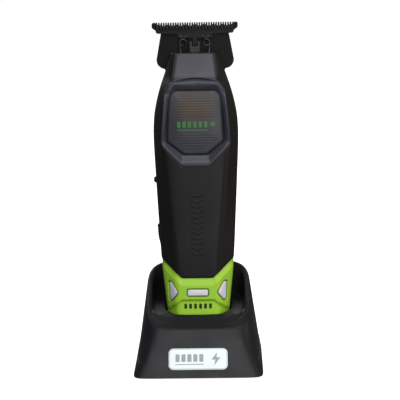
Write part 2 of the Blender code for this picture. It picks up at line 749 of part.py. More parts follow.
def make_controls(front, rear):
    """A slide switch and a round push button, both on the left where the casing halves meet."""
    wall_low = -section_point(SLIDER_LOW, 0.0).x
    wall_high = -section_point(SLIDER_HIGH, 0.0).x
    track_floor = wall_high + 1.3
    low, high = SLIDER_LOW, SLIDER_HIGH
    track = box(
        "slider_track",
        (-30.0, -3.4, low - GAP),
        (track_floor, 3.4, high + SLIDER_TRAVEL + GAP),
        holder=clipper,
    )
    slot = box("slider_slot", (-30.0, -1.5, low + 2.0), (-12.0, 1.5, high + 1.0), holder=clipper)
    slider = frame("power_slider_frame", (track_floor, 0.0, (low + high) / 2), parent=clipper)
    bottom, top = low - slider.location.z / MM, high - slider.location.z / MM
    crown = wall_high - track_floor - 1.0
    foot = wall_low - track_floor - 0.1
    profile = [(-GAP, bottom), (-GAP, top), (crown, top - 0.8), (crown, top - 4.5), (foot, bottom)]
    thumb = loft(
        "power_slider",
        [[(x, -3.1, z) for x, z in profile], [(x, 3.1, z) for x, z in profile]],
        black_shell,
        slider,
    )
    join(thumb, box("slider_stem", (-0.6, -1.1, -2.0), (2.2, 1.1, 2.0), holder=slider))
    for k in range(4):
        z = top - 4.4 + 1.0 * k
        cut(thumb, box(f"slider_rib_{k}", (crown - 1.0, -5.0, z), (crown + 0.35, 5.0, z + 0.5), holder=slider))

    face = -section_point(BUTTON_HEIGHT, 0.0).x
    hole = rod("button_hole", (-30, 0, BUTTON_HEIGHT), (-12, 0, BUTTON_HEIGHT), 1.95, holder=clipper)
    holder = frame("speed_button_frame", (face, 0.0, BUTTON_HEIGHT), parent=clipper)
    button = rod("speed_button", (-0.7, 0, 0), (3.2, 0, 0), 1.6, black_shell, holder)
    join(button, rod("button_crown", (-0.5, 0, 0), (-1.3, 0, 0), 1.5, holder=holder, end_radius=1.1))
    join(button, rod("button_flange", (2.6, 0, 0), (3.3, 0, 0), 2.5, holder=holder))
    for shell in (front, rear):
        cut(shell, track, slot, hole)

    box("side_board", (-12.6, -9.0, 46.0), (-11.2, 9.0, 86.0), board_green, clipper)
    box("slide_switch", (-15.0, -3.6, 47.0), (-12.9, 3.6, 57.0), motor_steel, clipper)
    low_x = face + 3.3 + BUTTON_TRAVEL + GAP
    box("push_switch", (low_x, -3.0, BUTTON_HEIGHT - 3), (-12.9, 3.0, BUTTON_HEIGHT + 3), inner_plastic, clipper)


# ---------------------------------------------------------------- power train

BATTERY_Y = 2.0
MOTOR_LOW = 88.0
MOTOR_HIGH = 117.0
MOTOR_RADIUS = 12.0
SHAFT_RADIUS = 1.15
CAM_LOW = 123.6
CAM_HIGH = 127.2
PIN_HIGH = 131.2
DRIVE_PIN_RADIUS = 0.9


def make_power():
    rod("battery_cell", (0, BATTERY_Y, 8.0), (0, BATTERY_Y, 73.0), 9.1, battery_blue, clipper, 28)
    holder = box("battery_holder", (-8.5, -8.6, 5.0), (8.5, 9.8, 7.6), inner_plastic, clipper)
    join(
        holder,
        box("holder_top", (-8.5, -8.6, 73.4), (8.5, 10.0, 75.6), holder=clipper),
        box("holder_rail", (-6.0, -9.2, 5.4), (6.0, -7.6, 75.2), holder=clipper),
    )

    can = rod("motor_can", (0, 0, MOTOR_LOW), (0, 0, MOTOR_HIGH), MOTOR_RADIUS, motor_steel, clipper, 28)
    inside = rod("can_inside", (0, 0, MOTOR_LOW - 1), (0, 0, MOTOR_HIGH - 1.6), 10.2, holder=clipper, segments=28)
    bore = rod("can_bore", (0, 0, 110), (0, 0, 140), SHAFT_RADIUS + GAP, holder=clipper)
    cut(can, inside, bore)
    end = rod("motor_end_cap", (0, 0, 84.6), (0, 0, MOTOR_LOW - GAP), 10.8, inner_plastic, clipper, 28)
    cut(end, rod("end_bore", (0, 0, 86), (0, 0, 90), SHAFT_RADIUS + GAP, holder=clipper))
    mount = rod("motor_mount", (0, 0, 117.4), (0, 0, 119.2), 13.6, motor_steel, clipper, 28)
    cut(mount, rod("mount_bore", (0, 0, 110), (0, 0, 125), 3.4, holder=clipper))
    for side, x in (("left", -8.0), ("right", 8.0)):
        screw = rod(f"motor_screw_{side}", (x, 0, 119.5), (x, 0, 120.8), 1.7, motor_steel, clipper, 14)
        cut(mount, rod(f"mount_hole_{side}", (x, 0, 110), (x, 0, 125), 1.2, holder=clipper, segments=10))
        join(screw, rod(f"motor_shank_{side}", (x, 0, 117.6), (x, 0, 120), 0.9, holder=clipper, segments=10))


def make_rotor():
    """Everything that spins: shaft, armature, and the cam with its offset pin."""
    rotor = frame("rotor_frame", (0.0, 0.0, CAM_LOW), parent=clipper)

    def spin(name, low, high, radius, finish_material=None, x=0.0, segments=20):
        start = (x, 0.0, low - CAM_LOW)
        end = (x, 0.0, high - CAM_LOW)
        return rod(name, start, end, radius, finish_material, rotor, segments)

    spin("motor_shaft", 86.6, 125.6, SHAFT_RADIUS, motor_steel)
    armature = spin("motor_armature", 90.5, 112.5, 9.4, copper, segments=24)
    cut(armature, spin("armature_bore", 85.0, 116.0, SHAFT_RADIUS + GAP))
    cam = spin("eccentric_cam", CAM_LOW, CAM_HIGH, 4.2, brass, segments=24)
    join(cam, spin("drive_pin", CAM_HIGH - 0.5, PIN_HIGH, DRIVE_PIN_RADIUS, x=STROKE, segments=16))
    cut(cam, spin("cam_bore", CAM_LOW - 1, 125.9, SHAFT_RADIUS + GAP))


# ---------------------------------------------------------------- blades


def toothed(pitch, teeth, root, tip, body, slim=0.28, stout=0.36):
    """A comb outline: teeth along the top, and below them the right half of the body, mirrored."""
    across = pitch * (teeth - 1) / 2
    comb = []
    for k in range(teeth):
        x = across - k * pitch
        comb += [(x + stout, root), (x + slim, tip), (x - slim, tip), (x - stout, root)]
    right = [(x, z) for x, z in reversed(body)]
    left = [(-x, z) for x, z in body]
    return comb + left + right


def arc(centre, radius, start, end, steps=5):
    turns = (math.radians(start + (end - start) * k / steps) for k in range(steps + 1))
    return [(centre[0] + radius * math.cos(t), centre[1] + radius * math.sin(t)) for t in turns]


def make_fixed_blade():
    """The wide T: fine teeth between two thick rounded ones, on a plate with rounded lobes."""
    body = (
        [(20.35, BLADE_ROOT)]
        + arc((20.7, 157.5), 0.8, 180, 0, 4)
        + arc((19.4, 156.2), 2.1, 0, -75, 4)
        + [(19.6, 153.6), (17.0, 153.0), (19.2, 140.0)]
        + arc((13.8, 140.2), 5.4, -5, -85, 5)
    )
    outline = toothed(TOOTH_PITCH, FIXED_TEETH, BLADE_ROOT, BLADE_TIP, body)
    blade = prism("fixed_blade", outline, BLADE_FRONT, BLADE_FRONT + BLADE_THICK, black_blade, clipper)
    for side, x in (("left", -6.5), ("right", 6.5)):
        hole = rod(f"blade_hole_{side}", (x, 0, 139.0), (x, 20, 139.0), 1.4, holder=clipper)
        cut(blade, hole)
        head_low = BLADE_FRONT + BLADE_THICK + GAP
        screw = rod(f"blade_screw_{side}", (x, head_low, 139.0), (x, head_low + 1.4, 139.0), 2.3, motor_steel, clipper, 16)
        join(screw, rod(f"blade_shank_{side}", (x, 2.4, 139.0), (x, head_low + 1, 139.0), 1.1, holder=clipper, segments=12))


def make_blade_bracket():
    """The block in the neck that the blade is screwed to, with two lugs that hold the spring."""
    bracket = box("blade_bracket", (-9.6, 1.8, 135.5), (9.6, 4.6, 142.4), motor_steel, clipper)
    for side, x in (("left", -6.5), ("right", 6.5)):
        join(bracket, box(f"lug_{side}", (x - 1.6, -3.4, 135.5), (x + 1.6, 2.4, 138.2), holder=clipper))
        cut(bracket, rod(f"bracket_hole_{side}", (x, 2.1, 139.0), (x, 9, 139.0), 1.4, holder=clipper))


def make_cutter():
    """The moving blade and the yoke that carries it, which slide together."""
    cutter = frame("cutter_frame", (0.0, CUTTER_FRONT, CUTTER_ROOT), parent=clipper)
    origin = Vector((0.0, CUTTER_FRONT, CUTTER_ROOT))
    body = [
        (19.5, CUTTER_ROOT),
        (19.5, 153.2),
        (18.9, 152.7),
        (8.8, 152.4),
        (8.2, 150.2),
        (1.1, 150.2),
        (1.1, 146.5),
    ]
    outline = toothed(CUTTER_PITCH, CUTTER_TEETH, CUTTER_ROOT, CUTTER_TIP, body, 0.3, 0.5)
    outline = [(x, z - origin.z) for x, z in outline]
    prism("moving_blade", outline, 0.0, CUTTER_THICK, black_blade, cutter)

    def block(name, low, high, finish_material=None):
        return box(name, Vector(low) - origin, Vector(high) - origin, finish_material, cutter)

    gap = DRIVE_PIN_RADIUS + 2 * STROKE + 0.25
    yoke = block("cutter_yoke", (-2.5, -1.4, 143.2), (2.5, 4.6, 148.4), inner_plastic)
    join(
        yoke,
        block("yoke_arm", (-1.8, -1.3, 133.0), (1.8, 1.2, 144.0)),
        block("yoke_bridge", (-gap - 1.3, -1.3, PIN_HIGH + 0.5), (gap + 1.3, 1.2, 133.8)),
        block("yoke_prong_left", (-gap - 1.3, -1.3, 128.0), (-gap, 1.2, 133.0)),
        block("yoke_prong_right", (gap, -1.3, 128.0), (gap + 1.3, 1.2, 133.0)),
    )
    cut(yoke, block("yoke_notch", (-1.5, -5.0, 146.2), (1.5, 9.0, 160.0)))


def make_blade_spring():
    """One wire: a tip on each side presses the cutter, then a coil, a leg and the bridge between."""
    coil_x, coil_z, coil_radius, steps = 6.1, 148.2, 1.7, 10
    right = [(4.3, 2.5, 151.9), (5.2, 2.5, 150.6)]
    for k in range(int(2.25 * steps) + 1):
        turn = math.radians(90) - 2 * math.pi * k / steps
        y = 2.5 - 1.7 * k / (2.25 * steps)
        right.append((coil_x + coil_radius * math.cos(turn), y, coil_z + coil_radius * math.sin(turn)))
    leg = coil_x + coil_radius
    right = right + [(leg, 0.6, 147.0), (leg, 0.4, 143.5), (leg - 0.4, -1.6, 140.6), (leg - 1.2, -2.4, 138.9)]
    left = [(-x, y, z) for x, y, z in reversed(right)]
    wire("blade_spring", right + left, 0.32, spring_steel, clipper)


# ---------------------------------------------------------------- assembly

make_dock()
front_shell, rear_shell = make_casing()
make_collar()
make_base_cap()
make_controls(front_shell, rear_shell)
make_power()
make_rotor()
make_fixed_blade()
make_blade_bracket()
make_cutter()
make_blade_spring()
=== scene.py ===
"""Looks of the hair clipper and its charging dock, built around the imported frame.

Lengths are in millimetres. The clipper's pieces are drawn in the clipper's own frame, X right, Y back
and Z up its axis from the middle of its base, and `held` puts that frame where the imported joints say.
The dock's pieces are drawn in the row frame. An outline holds (x, z) points. A section holds pairs: how
far a line lies from an outline towards the next one, from 0 to 1, and how far it lifts off the surface.
"""

import json
import math

import bmesh
import bpy
import numpy as np
from mathutils import Matrix, Vector


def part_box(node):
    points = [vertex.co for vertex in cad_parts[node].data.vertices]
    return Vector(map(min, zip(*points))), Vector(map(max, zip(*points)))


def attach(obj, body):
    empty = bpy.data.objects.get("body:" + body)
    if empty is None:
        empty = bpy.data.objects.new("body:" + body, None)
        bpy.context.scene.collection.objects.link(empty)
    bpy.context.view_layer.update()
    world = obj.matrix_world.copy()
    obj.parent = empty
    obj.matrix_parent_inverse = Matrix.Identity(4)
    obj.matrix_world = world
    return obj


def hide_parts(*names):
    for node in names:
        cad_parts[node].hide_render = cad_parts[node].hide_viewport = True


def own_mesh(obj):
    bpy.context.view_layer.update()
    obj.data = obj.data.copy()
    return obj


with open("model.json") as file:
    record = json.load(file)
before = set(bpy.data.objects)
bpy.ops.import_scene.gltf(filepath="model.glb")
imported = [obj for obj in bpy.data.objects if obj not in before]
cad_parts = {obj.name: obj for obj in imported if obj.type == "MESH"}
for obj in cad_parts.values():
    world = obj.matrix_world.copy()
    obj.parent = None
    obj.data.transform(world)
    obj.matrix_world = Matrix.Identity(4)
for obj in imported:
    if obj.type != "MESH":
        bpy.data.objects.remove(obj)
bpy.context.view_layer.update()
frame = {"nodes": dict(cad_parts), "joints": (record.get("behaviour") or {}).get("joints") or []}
MM = 0.001
FULL_TURN = 2 * math.pi
JOINTS = {joint["name"]: joint for joint in frame["joints"]}

# -------- dimensions

CAM_HEIGHT = 123.6  # the motor joint's point above the clipper's base

# Casing: height, half width, front depth, back depth, and half width of its flat front
CASING = np.array(
    (
        (0.0, 14.6, 13.2, 13.0, 11.0),
        (16.0, 15.8, 14.3, 14.0, 11.0),
        (39.0, 18.1, 15.8, 15.4, 10.8),
        (62.0, 19.4, 16.5, 16.0, 12.9),
        (84.0, 20.5, 17.4, 17.0, 15.0),
        (102.0, 21.2, 18.3, 18.0, 16.8),
        (112.0, 20.7, 18.4, 17.6, 16.2),
        (120.0, 19.2, 17.6, 16.2, 14.9),
        (126.5, 17.4, 15.9, 14.2, 12.9),
        (131.0, 15.9, 12.8, 11.8, 11.6),
        (135.0, 14.5, 11.4, 9.6, 11.0),
        (142.8, 12.2, 9.4, 6.2, 10.0),
    )
)
CASING_TOP = 142.8
SQUARE, FACET_SOFT = 4.6, 1.6
SEAM, WALL = 0.15, 1.7
SEAT_Y, SEAT_LOW = 4.85, 133.9  # the flat on the back that the fixed blade lies on

COLLAR_SHOULDER, COLLAR_TIP, COLLAR_LOW = 31.4, 40.3, 1.5
COLLAR_FLAT, COLLAR_SIDE = 7.9, 18.2
CHAMFER, CHAMFER_SINK = 3.9, 0.95
TROUGH = [(8.4, 20.8), (20.0, 12.1), (20.0, -6.0), (-20.0, -6.0), (-20.0, 12.1), (-8.4, 20.8)]
TROUGH_RADII, TROUGH_DEPTH = [2.0, 3.0, 1.0, 1.0, 3.0, 2.0], 0.9
LIGHT_SIDE = [(14.6, 31.1), (14.2, 18.5), (10.0, 24.2)]
LIGHTS = {
    "center": [(5.2, 25.6), (5.2, 22.4), (-5.2, 22.4), (-5.2, 25.6)],
    "right": LIGHT_SIDE,
    "left": [(-x, z) for x, z in LIGHT_SIDE],
}
LIGHT_DEPTH, LIGHT_BORDER = 1.3, 0.55

# Right halves, downwards
WINDOW = [(13.9, 125.3), (15.2, 99.3), (6.3, 92.6)]
WINDOW_RADII = [5.0, 2.4, 1.6]
BEZEL = [(0.0, 130.1), (12.2, 128.7), (14.9, 124.5), (17.4, 97.6), (6.9, 86.8)]
BEZEL_INNER = [(0.0, 125.3), (10.2, 125.3), (14.0, 121.4), (15.2, 99.3), (6.3, 92.6)]
BEZEL_RADII = [30.0, 3.4, 6.0, 3.0, 2.2]
BEZEL_INNER_RADII = [30.0, 4.0, 4.0, 2.4, 1.6]
BEZEL_SINK = 3.2
RIB_PITCH, RIB_HEIGHT = 1.3, 0.03

PLATE_TOP, PLATE_LOW, PLATE_ARCH = 142.55, 130.3, 1.75
PLATE_GAP, PLATE_NOTCH, PLATE_SINK = 0.25, 0.7, 1.1

GRIP_X, GRIP_LOW, GRIP_PITCH, GRIP_COUNT = 0.4, 42.6, 2.63, 12
GRIP_HALF, GRIP_BEND, GRIP_WIDTH = 3.1, 0.9, 1.15

BLADE_FRONT, BLADE_THICK = 5.0, 1.6
CUTTER_FRONT, CUTTER_THICK = 3.2, 1.5
BLADE_HOLE_X = 6.5

CONTACT_X = 5.0
COIL_LOW, COIL_HIGH, COIL_RADIUS, COIL_WIRE, COIL_TURNS = -7.2, -4.55, 1.45, 0.2, 3.5

HALF_WIDTH, DOCK_FRONT, DOCK_BACK, FOOT_SQUARE = 31.8, -35.0, 35.0, 13.0
RIM_HALF, RIM_FRONT, RIM_BACK, RIM_SQUARE = 26.0, -22.0, 24.0, 4.4
RIM_HEIGHT, RIM_SLOPE = 23.0, 0.555
SKIRT_LOW, SKIRT_TOP, SKIRT_STEP = 0.8, 7.2, 0.2
WELL_HEIGHT, WELL_SLOPE, WELL_INSET = 28.8, 0.1, 3.2
POCKET_GAP, SHELL_WALL = 0.85, 2.4
LABEL_RECESS = 0.5

SIDES = (("left", -1), ("right", 1))
BACKWARDS = (0, 1, 0)
BOX_FACES = [(3, 2, 1, 0), (4, 5, 6, 7), (0, 1, 5, 4), (1, 2, 6, 5), (2, 3, 7, 6), (3, 0, 4, 7)]


# -------- the casing's surface


def through(height, column):
    """A smooth curve through one column of the casing's stations."""
    rows, values = CASING[:, 0], CASING[:, column]
    last = len(rows) - 1
    low, high = np.maximum(np.arange(last + 1) - 1, 0), np.minimum(np.arange(last + 1) + 1, last)
    slope = (values[high] - values[low]) / (rows[high] - rows[low])
    height = np.clip(height, rows[0], rows[-1])
    i = np.clip(np.searchsorted(rows, height, side="right") - 1, 0, last - 1)
    span = rows[i + 1] - rows[i]
    t = (height - rows[i]) / span
    return (
        values[i] * (1 + 2 * t) * (1 - t) ** 2
        + slope[i] * span * t * (1 - t) ** 2
        + values[i + 1] * t * t * (3 - 2 * t)
        + slope[i + 1] * span * t * t * (t - 1)
    )


def smooth_min(a, b, soft):
    h = np.clip(0.5 + 0.5 * (b - a) / soft, 0, 1)
    return b * (1 - h) + a * h - soft * h * (1 - h)


def smooth_step(low, high, value):
    t = np.clip((value - low) / (high - low), 0, 1)
    return t * t * (3 - 2 * t)


def around(count):
    """Evenly spread angles of a full turn."""
    return np.linspace(0, FULL_TURN, count, endpoint=False)


def clustered(count, power):
    """Shares from 0 to 1 that crowd towards both ends."""
    t = np.linspace(-1, 1, count)
    return 0.5 + 0.5 * np.sign(t) * (1 - (1 - np.abs(t)) ** power)


def casing_point(height, turn, inset=0.0):
    """A point of the casing's surface. turn is 0 at the front, 90 degrees at +X and 180 at the back."""
    height, turn = np.broadcast_arrays(np.asarray(height, float), np.asarray(turn, float))
    half, front, back, flat = (through(height, column) for column in (1, 2, 3, 4))
    centre, depth = (back - front) / 2, (back + front) / 2
    across, along = np.abs(np.sin(turn)), np.abs(np.cos(turn))
    round_reach = ((across / half) ** SQUARE + (along / depth) ** SQUARE) ** (-1 / SQUARE)
    corner_y = depth * (1 - (flat / half) ** SQUARE) ** (1 / SQUARE)
    side_x, side_y = half * 0.993, depth * 0.40
    nx, ny = corner_y - side_y, side_x - flat
    facet_reach = (nx * flat + ny * corner_y) / (nx * across + ny * along)
    reach = smooth_min(round_reach, facet_reach, FACET_SOFT) - inset
    return np.stack((reach * np.sin(turn), centre - reach * np.cos(turn), height), axis=-1)


def outwards(turn):
    """The level direction out of the casing at each turn."""
    return np.stack((np.sin(turn), -np.cos(turn), np.zeros_like(turn)), axis=-1)[None]


def surface_y(x, height, back=False):
    """Where the casing's front or back is, at a place across it."""
    x, height = np.broadcast_arrays(np.asarray(x, float), np.asarray(height, float))
    low, high = np.zeros_like(x), np.full_like(x, math.pi / 2)
    for _ in range(30):
        middle = (low + high) / 2
        turn = math.pi - middle if back else middle
        inside = casing_point(height, turn)[..., 0] < np.abs(x)
        low, high = np.where(inside, middle, low), np.where(inside, high, middle)
    return casing_point(height, math.pi - low if back else low)[..., 1]


def on_front(x, height, lift):
    """Points on the casing's front, lifted off it along its normal."""
    step = 0.1
    across = (surface_y(x + step, height) - surface_y(x - step, height)) / (2 * step)
    up = (surface_y(x, height + step) - surface_y(x, height - step)) / (2 * step)
    normal = np.stack((across, -np.ones_like(across), up), axis=-1)
    normal /= np.linalg.norm(normal, axis=-1, keepdims=True)
    base = np.stack((x, surface_y(x, height), height), axis=-1)
    return base + normal * lift[..., None]


# -------- frames and mesh helpers


def clipper_matrix():
    """The clipper's own frame, in metres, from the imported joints."""
    axis = Vector(JOINTS["clipper_lift"]["axis"]).normalized()
    right = Vector((1, 0, 0))
    made = Matrix((right, axis.cross(right), axis)).transposed().to_4x4()
    made.translation = Vector(JOINTS["motor_spin"]["pos_m"]) - axis * CAM_HEIGHT * MM
    return made


held = clipper_matrix()
upright = Matrix.Identity(4)


def placed(points, where):
    """Points in mm, moved from a frame to the row frame, in metres."""
    points = np.asarray(points, float).reshape(-1, 3) * MM
    turn, shift = np.array(where.to_3x3()), np.array(where.translation)
    return points @ turn.T + shift


def node_points(node, where):
    """A CAD node's points in mm, in one of the frames."""
    back = where.inverted()
    return np.array([tuple(back @ v.co) for v in frame["nodes"][node].data.vertices]) / MM


def node_box(node):
    points = node_points(node, held)
    return points.min(0), points.max(0)


def new_object(name, data):
    made = bpy.data.objects.new(name, data)
    bpy.context.scene.collection.objects.link(made)
    return made


def new_mesh(name, points, faces, where):
    """An object from points in mm."""
    mesh = bpy.data.meshes.new(name)
    mesh.from_pydata(placed(points, where).tolist(), [], faces)
    return new_object(name, mesh)


def dress(made, look, replaces, body):
    """Gives an object its material and says what it rides and what it stands for."""
    made.data.materials.append(look)
    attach(made, body)
    if replaces:
        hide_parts(*replaces)


def add_piece(name, points, faces, look, slot, replaces=(), smooth=40, body="clipper", where=held):
    """A piece of the object. Edges sharper than smooth, in degrees, stay sharp."""
    made = new_mesh(name, points, faces, where)
    made.data.validate()
    made.data.shade_smooth()
    if smooth:
        made.data.set_sharp_from_angle(angle=math.radians(smooth))
    dress(made, look, replaces, body)
    return made


def grid_faces(rows, columns, closed=False, flip=False, start=0):
    """Quads of a grid of points stored row by row. closed joins the last column to the first."""
    r = np.arange(rows - 1)[:, None]
    c = np.arange(columns if closed else columns - 1)[None, :]
    k = (c + 1) % columns
    quads = np.stack(
        (r * columns + c, r * columns + k, (r + 1) * columns + k, (r + 1) * columns + c), axis=-1
    ).reshape(-1, 4) + start
    return (quads[:, ::-1] if flip else quads).tolist()


def caps(rows, columns, start=0):
    """The faces that close the first and the last row of a grid."""
    last = start + (rows - 1) * columns
    return [list(range(start, start + columns))[::-1], list(range(last, last + columns))]


def prism(outline, near, thick):
    """Points and faces of a flat plate with an outline, from y = near backwards."""
    outline = np.asarray(outline, float)
    count = len(outline)
    front = np.column_stack((outline[:, 0], np.full(count, near), outline[:, 1]))
    faces = [[i, (i + 1) % count, count + (i + 1) % count, count + i] for i in range(count)]
    return np.concatenate((front, front + (0, thick, 0))), faces + caps(2, count)


def turned(profile, sides, start, axis):
    """Points and faces of a turned shape. profile holds (radius, distance along the axis)."""
    axis = Vector(axis).normalized()
    side = axis.orthogonal().normalized()
    other = axis.cross(side)
    turns = around(sides)
    points = [
        tuple(Vector(start) + axis * distance + (side * math.cos(turn) + other * math.sin(turn)) * radius)
        for radius, distance in profile
        for turn in turns
    ]
    return points, grid_faces(len(profile), sides, closed=True) + caps(len(profile), sides)


def thicken(made, thickness):
    modifier = made.modifiers.new("wall", "SOLIDIFY")
    modifier.thickness = thickness * MM
    modifier.offset = -1.0


def bevel(made, width, angle=30):
    weld = made.modifiers.new("weld", "WELD")
    weld.merge_threshold = 0.002 * MM
    modifier = made.modifiers.new("edge", "BEVEL")
    modifier.width = width * MM
    modifier.segments = 2
    modifier.limit_method = "ANGLE"
    modifier.angle_limit = math.radians(angle)
    modifier.harden_normals = True


def bake(made):
    """Applies every modifier."""
    bpy.context.view_layer.update()
    evaluated = made.evaluated_get(bpy.context.evaluated_depsgraph_get())
    mesh = bpy.data.meshes.new_from_object(evaluated)
    made.modifiers.clear()
    made.data = mesh


def carve(made, tools):
    """Cuts the tools out of a closed piece and keeps only the result."""
    for tool in tools:
        modifier = made.modifiers.new("cut", "BOOLEAN")
        modifier.operation = "DIFFERENCE"
        modifier.object = tool
    bake(made)
    for tool in tools:
        bpy.data.objects.remove(tool)


def turn_out(made):
    """Turns every face of a closed piece outwards."""
    sheet = bmesh.new()
    sheet.from_mesh(made.data)
    bmesh.ops.recalc_face_normals(sheet, faces=sheet.faces)
    sheet.to_mesh(made.data)
    sheet.free()


def rod_tool(start, axis, radius, length, where=held):
    return new_mesh("tool", *turned([(radius, 0.0), (radius, length)], 32, start, axis), where)


def box_tool(low, high):
    (x0, y0, z0), (x1, y1, z1) = low, high
    points = [(x, y, z) for z in (z0, z1) for x, y in ((x0, y0), (x1, y0), (x1, y1), (x0, y1))]
    return new_mesh("tool", points, BOX_FACES, held)


# -------- outlines and bands


def block(half_x, half_z, x=0.0, z=0.0):
    """The corners of a rectangle."""
    signs = ((1, 1), (1, -1), (-1, -1), (-1, 1))
    return [(x + a * half_x, z + b * half_z) for a, b in signs]


def arc(cx, cz, radius, start, end):
    turns = np.radians(np.linspace(start, end, 11))
    return [(cx + radius * math.cos(t), cz + radius * math.sin(t)) for t in turns]


def mirrored(right, radii):
    """The right half of an outline, downwards, completed with its left half."""
    inner = [(p, r) for p, r in zip(right, radii) if p[0] > 0]
    middle = [(p, r) for p, r in zip(right, radii) if p[0] == 0]
    left = [((-p[0], p[1]), r) for p, r in reversed(inner)]
    whole = middle + inner + left
    return [p for p, _ in whole], [r for _, r in whole]


def rounded(corners, radii, arc_steps=8, edge_steps=16):
    """A closed outline with an arc at each corner and evenly divided edges between the arcs."""
    arcs = []
    count = len(corners)
    for i, radius in enumerate(radii):
        corner = Vector(corners[i])
        before = (Vector(corners[i - 1]) - corner).normalized()
        after = (Vector(corners[(i + 1) % count]) - corner).normalized()
        half = before.angle(after) / 2
        centre = corner + (before + after).normalized() * (radius / math.sin(half))
        start = corner + before * (radius / math.tan(half)) - centre
        end = corner + after * (radius / math.tan(half)) - centre
        whole = start.angle(end)
        sign = 1 if start.x * end.y - start.y * end.x > 0 else -1
        turns = [Matrix.Rotation(sign * whole * k / arc_steps, 2) for k in range(arc_steps + 1)]
        arcs.append([np.array(centre + turn @ start) for turn in turns])
    made = []
    for i, points in enumerate(arcs):
        made += points
        following = arcs[(i + 1) % count][0]
        made += [points[-1] + (following - points[-1]) * k / edge_steps for k in range(1, edge_steps)]
    return np.array(made)


def distance_inside(x, z, outline):
    """How far points lie inside a closed outline, negative outside."""
    a, b = outline, np.roll(outline, -1, axis=0)
    p = np.stack((x, z), axis=-1)[..., None, :]
    edge = b - a
    t = np.clip(((p - a) * edge).sum(-1) / (edge**2).sum(-1).clip(1e-12), 0, 1)
    nearest = np.linalg.norm(p - (a + t[..., None] * edge), axis=-1).min(-1)
    crosses = (a[:, 1] > p[..., 1]) != (b[:, 1] > p[..., 1])
    rise = np.where(edge[:, 1] == 0, 1e-12, edge[:, 1])
    at = a[:, 0] + (p[..., 1] - a[:, 1]) / rise * edge[:, 0]
    inside = (crosses & (p[..., 0] < at)).sum(-1) % 2 == 1
    return np.where(inside, nearest, -nearest)


def band(name, outer, inner, section, look, slot, replaces=(), closed=False, lay=on_front, **ride):
    """A band laid on a surface between two outlines. closed fills the inner one."""
    rows = []
    for share, lift in section:
        path = outer * (1 - share) + inner * share
        rows.append(lay(path[:, 0], path[:, 1], np.full(len(path), float(lift))))
    faces = grid_faces(len(section), len(outer), closed=True)
    if closed:
        faces.append(caps(len(section), len(outer))[1])
    return add_piece(name, np.concatenate(rows), faces, look, slot, replaces, 50, **ride)


def pad(name, outline, section, look, slot, replaces=(), **ride):
    """A closed pad laid on a surface. Its section runs towards its middle."""
    middle = outline.mean(0)[None].repeat(len(outline), 0)
    return band(name, outline, middle, section, look, slot, replaces, True, **ride)


def pill(name, corners, radius, low, high, look):
    """A small raised mark with a soft edge, laid on the casing's front."""
    outline = rounded(corners, [radius] * len(corners), 5, 6)
    section = ((0.0, low - 0.4), (0.0, low), (0.06, high - 0.01), (0.16, high), (0.6, high), (0.96, high))
    return pad(name, outline, section, look, "green_collar")


# -------- materials


class Nodes:
    """A material's node tree, with a few shorthands."""

    def __init__(self, name):
        self.material = bpy.data.materials.new(name)
        self.material.use_nodes = True
        self.tree = self.material.node_tree
        self.shader = self.tree.nodes["Principled BSDF"]
        self.place = self.add("TexCoord", "Object")

    def link(self, source, target):
        self.tree.links.new(source, target)

    def add(self, kind, output, source=None, entry="Vector", **values):
        """Adds a node, sets its inputs, feeds one of them and hands back one of its outputs."""
        node = self.tree.nodes.new("ShaderNode" + kind)
        for key, value in values.items():
            node.inputs[key.replace("_", " ")].default_value = value
        if source is not None:
            self.link(source, node.inputs[entry])
        return node.outputs[output]

    def noise(self, scale, detail=3.0):
        return self.add("TexNoise", "Fac", self.place, Scale=scale, Detail=detail)

    def marks(self, scale, stretch):
        place = self.add("Mapping", "Vector", self.place, Scale=stretch)
        return self.add("TexNoise", "Fac", place, Scale=scale, Detail=2.0)

    def spread(self, source, low, high, from_low=0.3, from_high=0.7):
        ends = {"From_Min": from_low, "From_Max": from_high, "To_Min": low, "To_Max": high}
        return self.add("MapRange", "Result", source, "Value", **ends)

    def ramp(self, source, stops):
        colours = self.add("ValToRGB", "Color", source, "Fac")
        ramp = colours.node.color_ramp
        ramp.elements[0].position, ramp.elements[0].color = stops[0][0], (*stops[0][1], 1)
        ramp.elements[1].position, ramp.elements[1].color = stops[-1][0], (*stops[-1][1], 1)
        for position, colour in stops[1:-1]:
            ramp.elements.new(position).color = (*colour, 1)
        return colours

    def bump(self, source, depth, strength, after=None):
        normal = self.add("Bump", "Normal", source, "Height", Distance=depth * MM, Strength=strength)
        if after is not None:
            self.link(after, normal.node.inputs["Normal"])
        return normal

    def set(self, **values):
        for key, value in values.items():
            self.shader.inputs[key.replace("_", " ")].default_value = value

    def feed(self, **sources):
        for key, source in sources.items():
            self.link(source, self.shader.inputs[key.replace("_", " ")])


def shade(colour, factor):
    return tuple(min(1.0, channel * factor) for channel in colour)


def plastic(name, colour, rough, grain=1400.0, depth=0.012, uneven=0.12, specular=0.5):
    """Moulded plastic: a fine sparked grain, slightly uneven gloss and a breath of tone variation."""
    nodes = Nodes(name)
    nodes.set(Specular_IOR_Level=specular)
    stops = [(0.3, shade(colour, 1 - uneven)), (0.7, shade(colour, 1 + uneven))]
    cells = nodes.add("TexVoronoi", "Distance", nodes.place, Scale=grain)
    coarse = nodes.bump(nodes.noise(260.0), depth * 0.6, 0.35)
    nodes.feed(
        Base_Color=nodes.ramp(nodes.noise(35.0, 4.0), stops),
        Roughness=nodes.spread(nodes.noise(90.0, 5.0), rough * 0.86, rough * 1.14),
        Normal=nodes.bump(cells, depth, 0.6, coarse),
    )
    return nodes.material


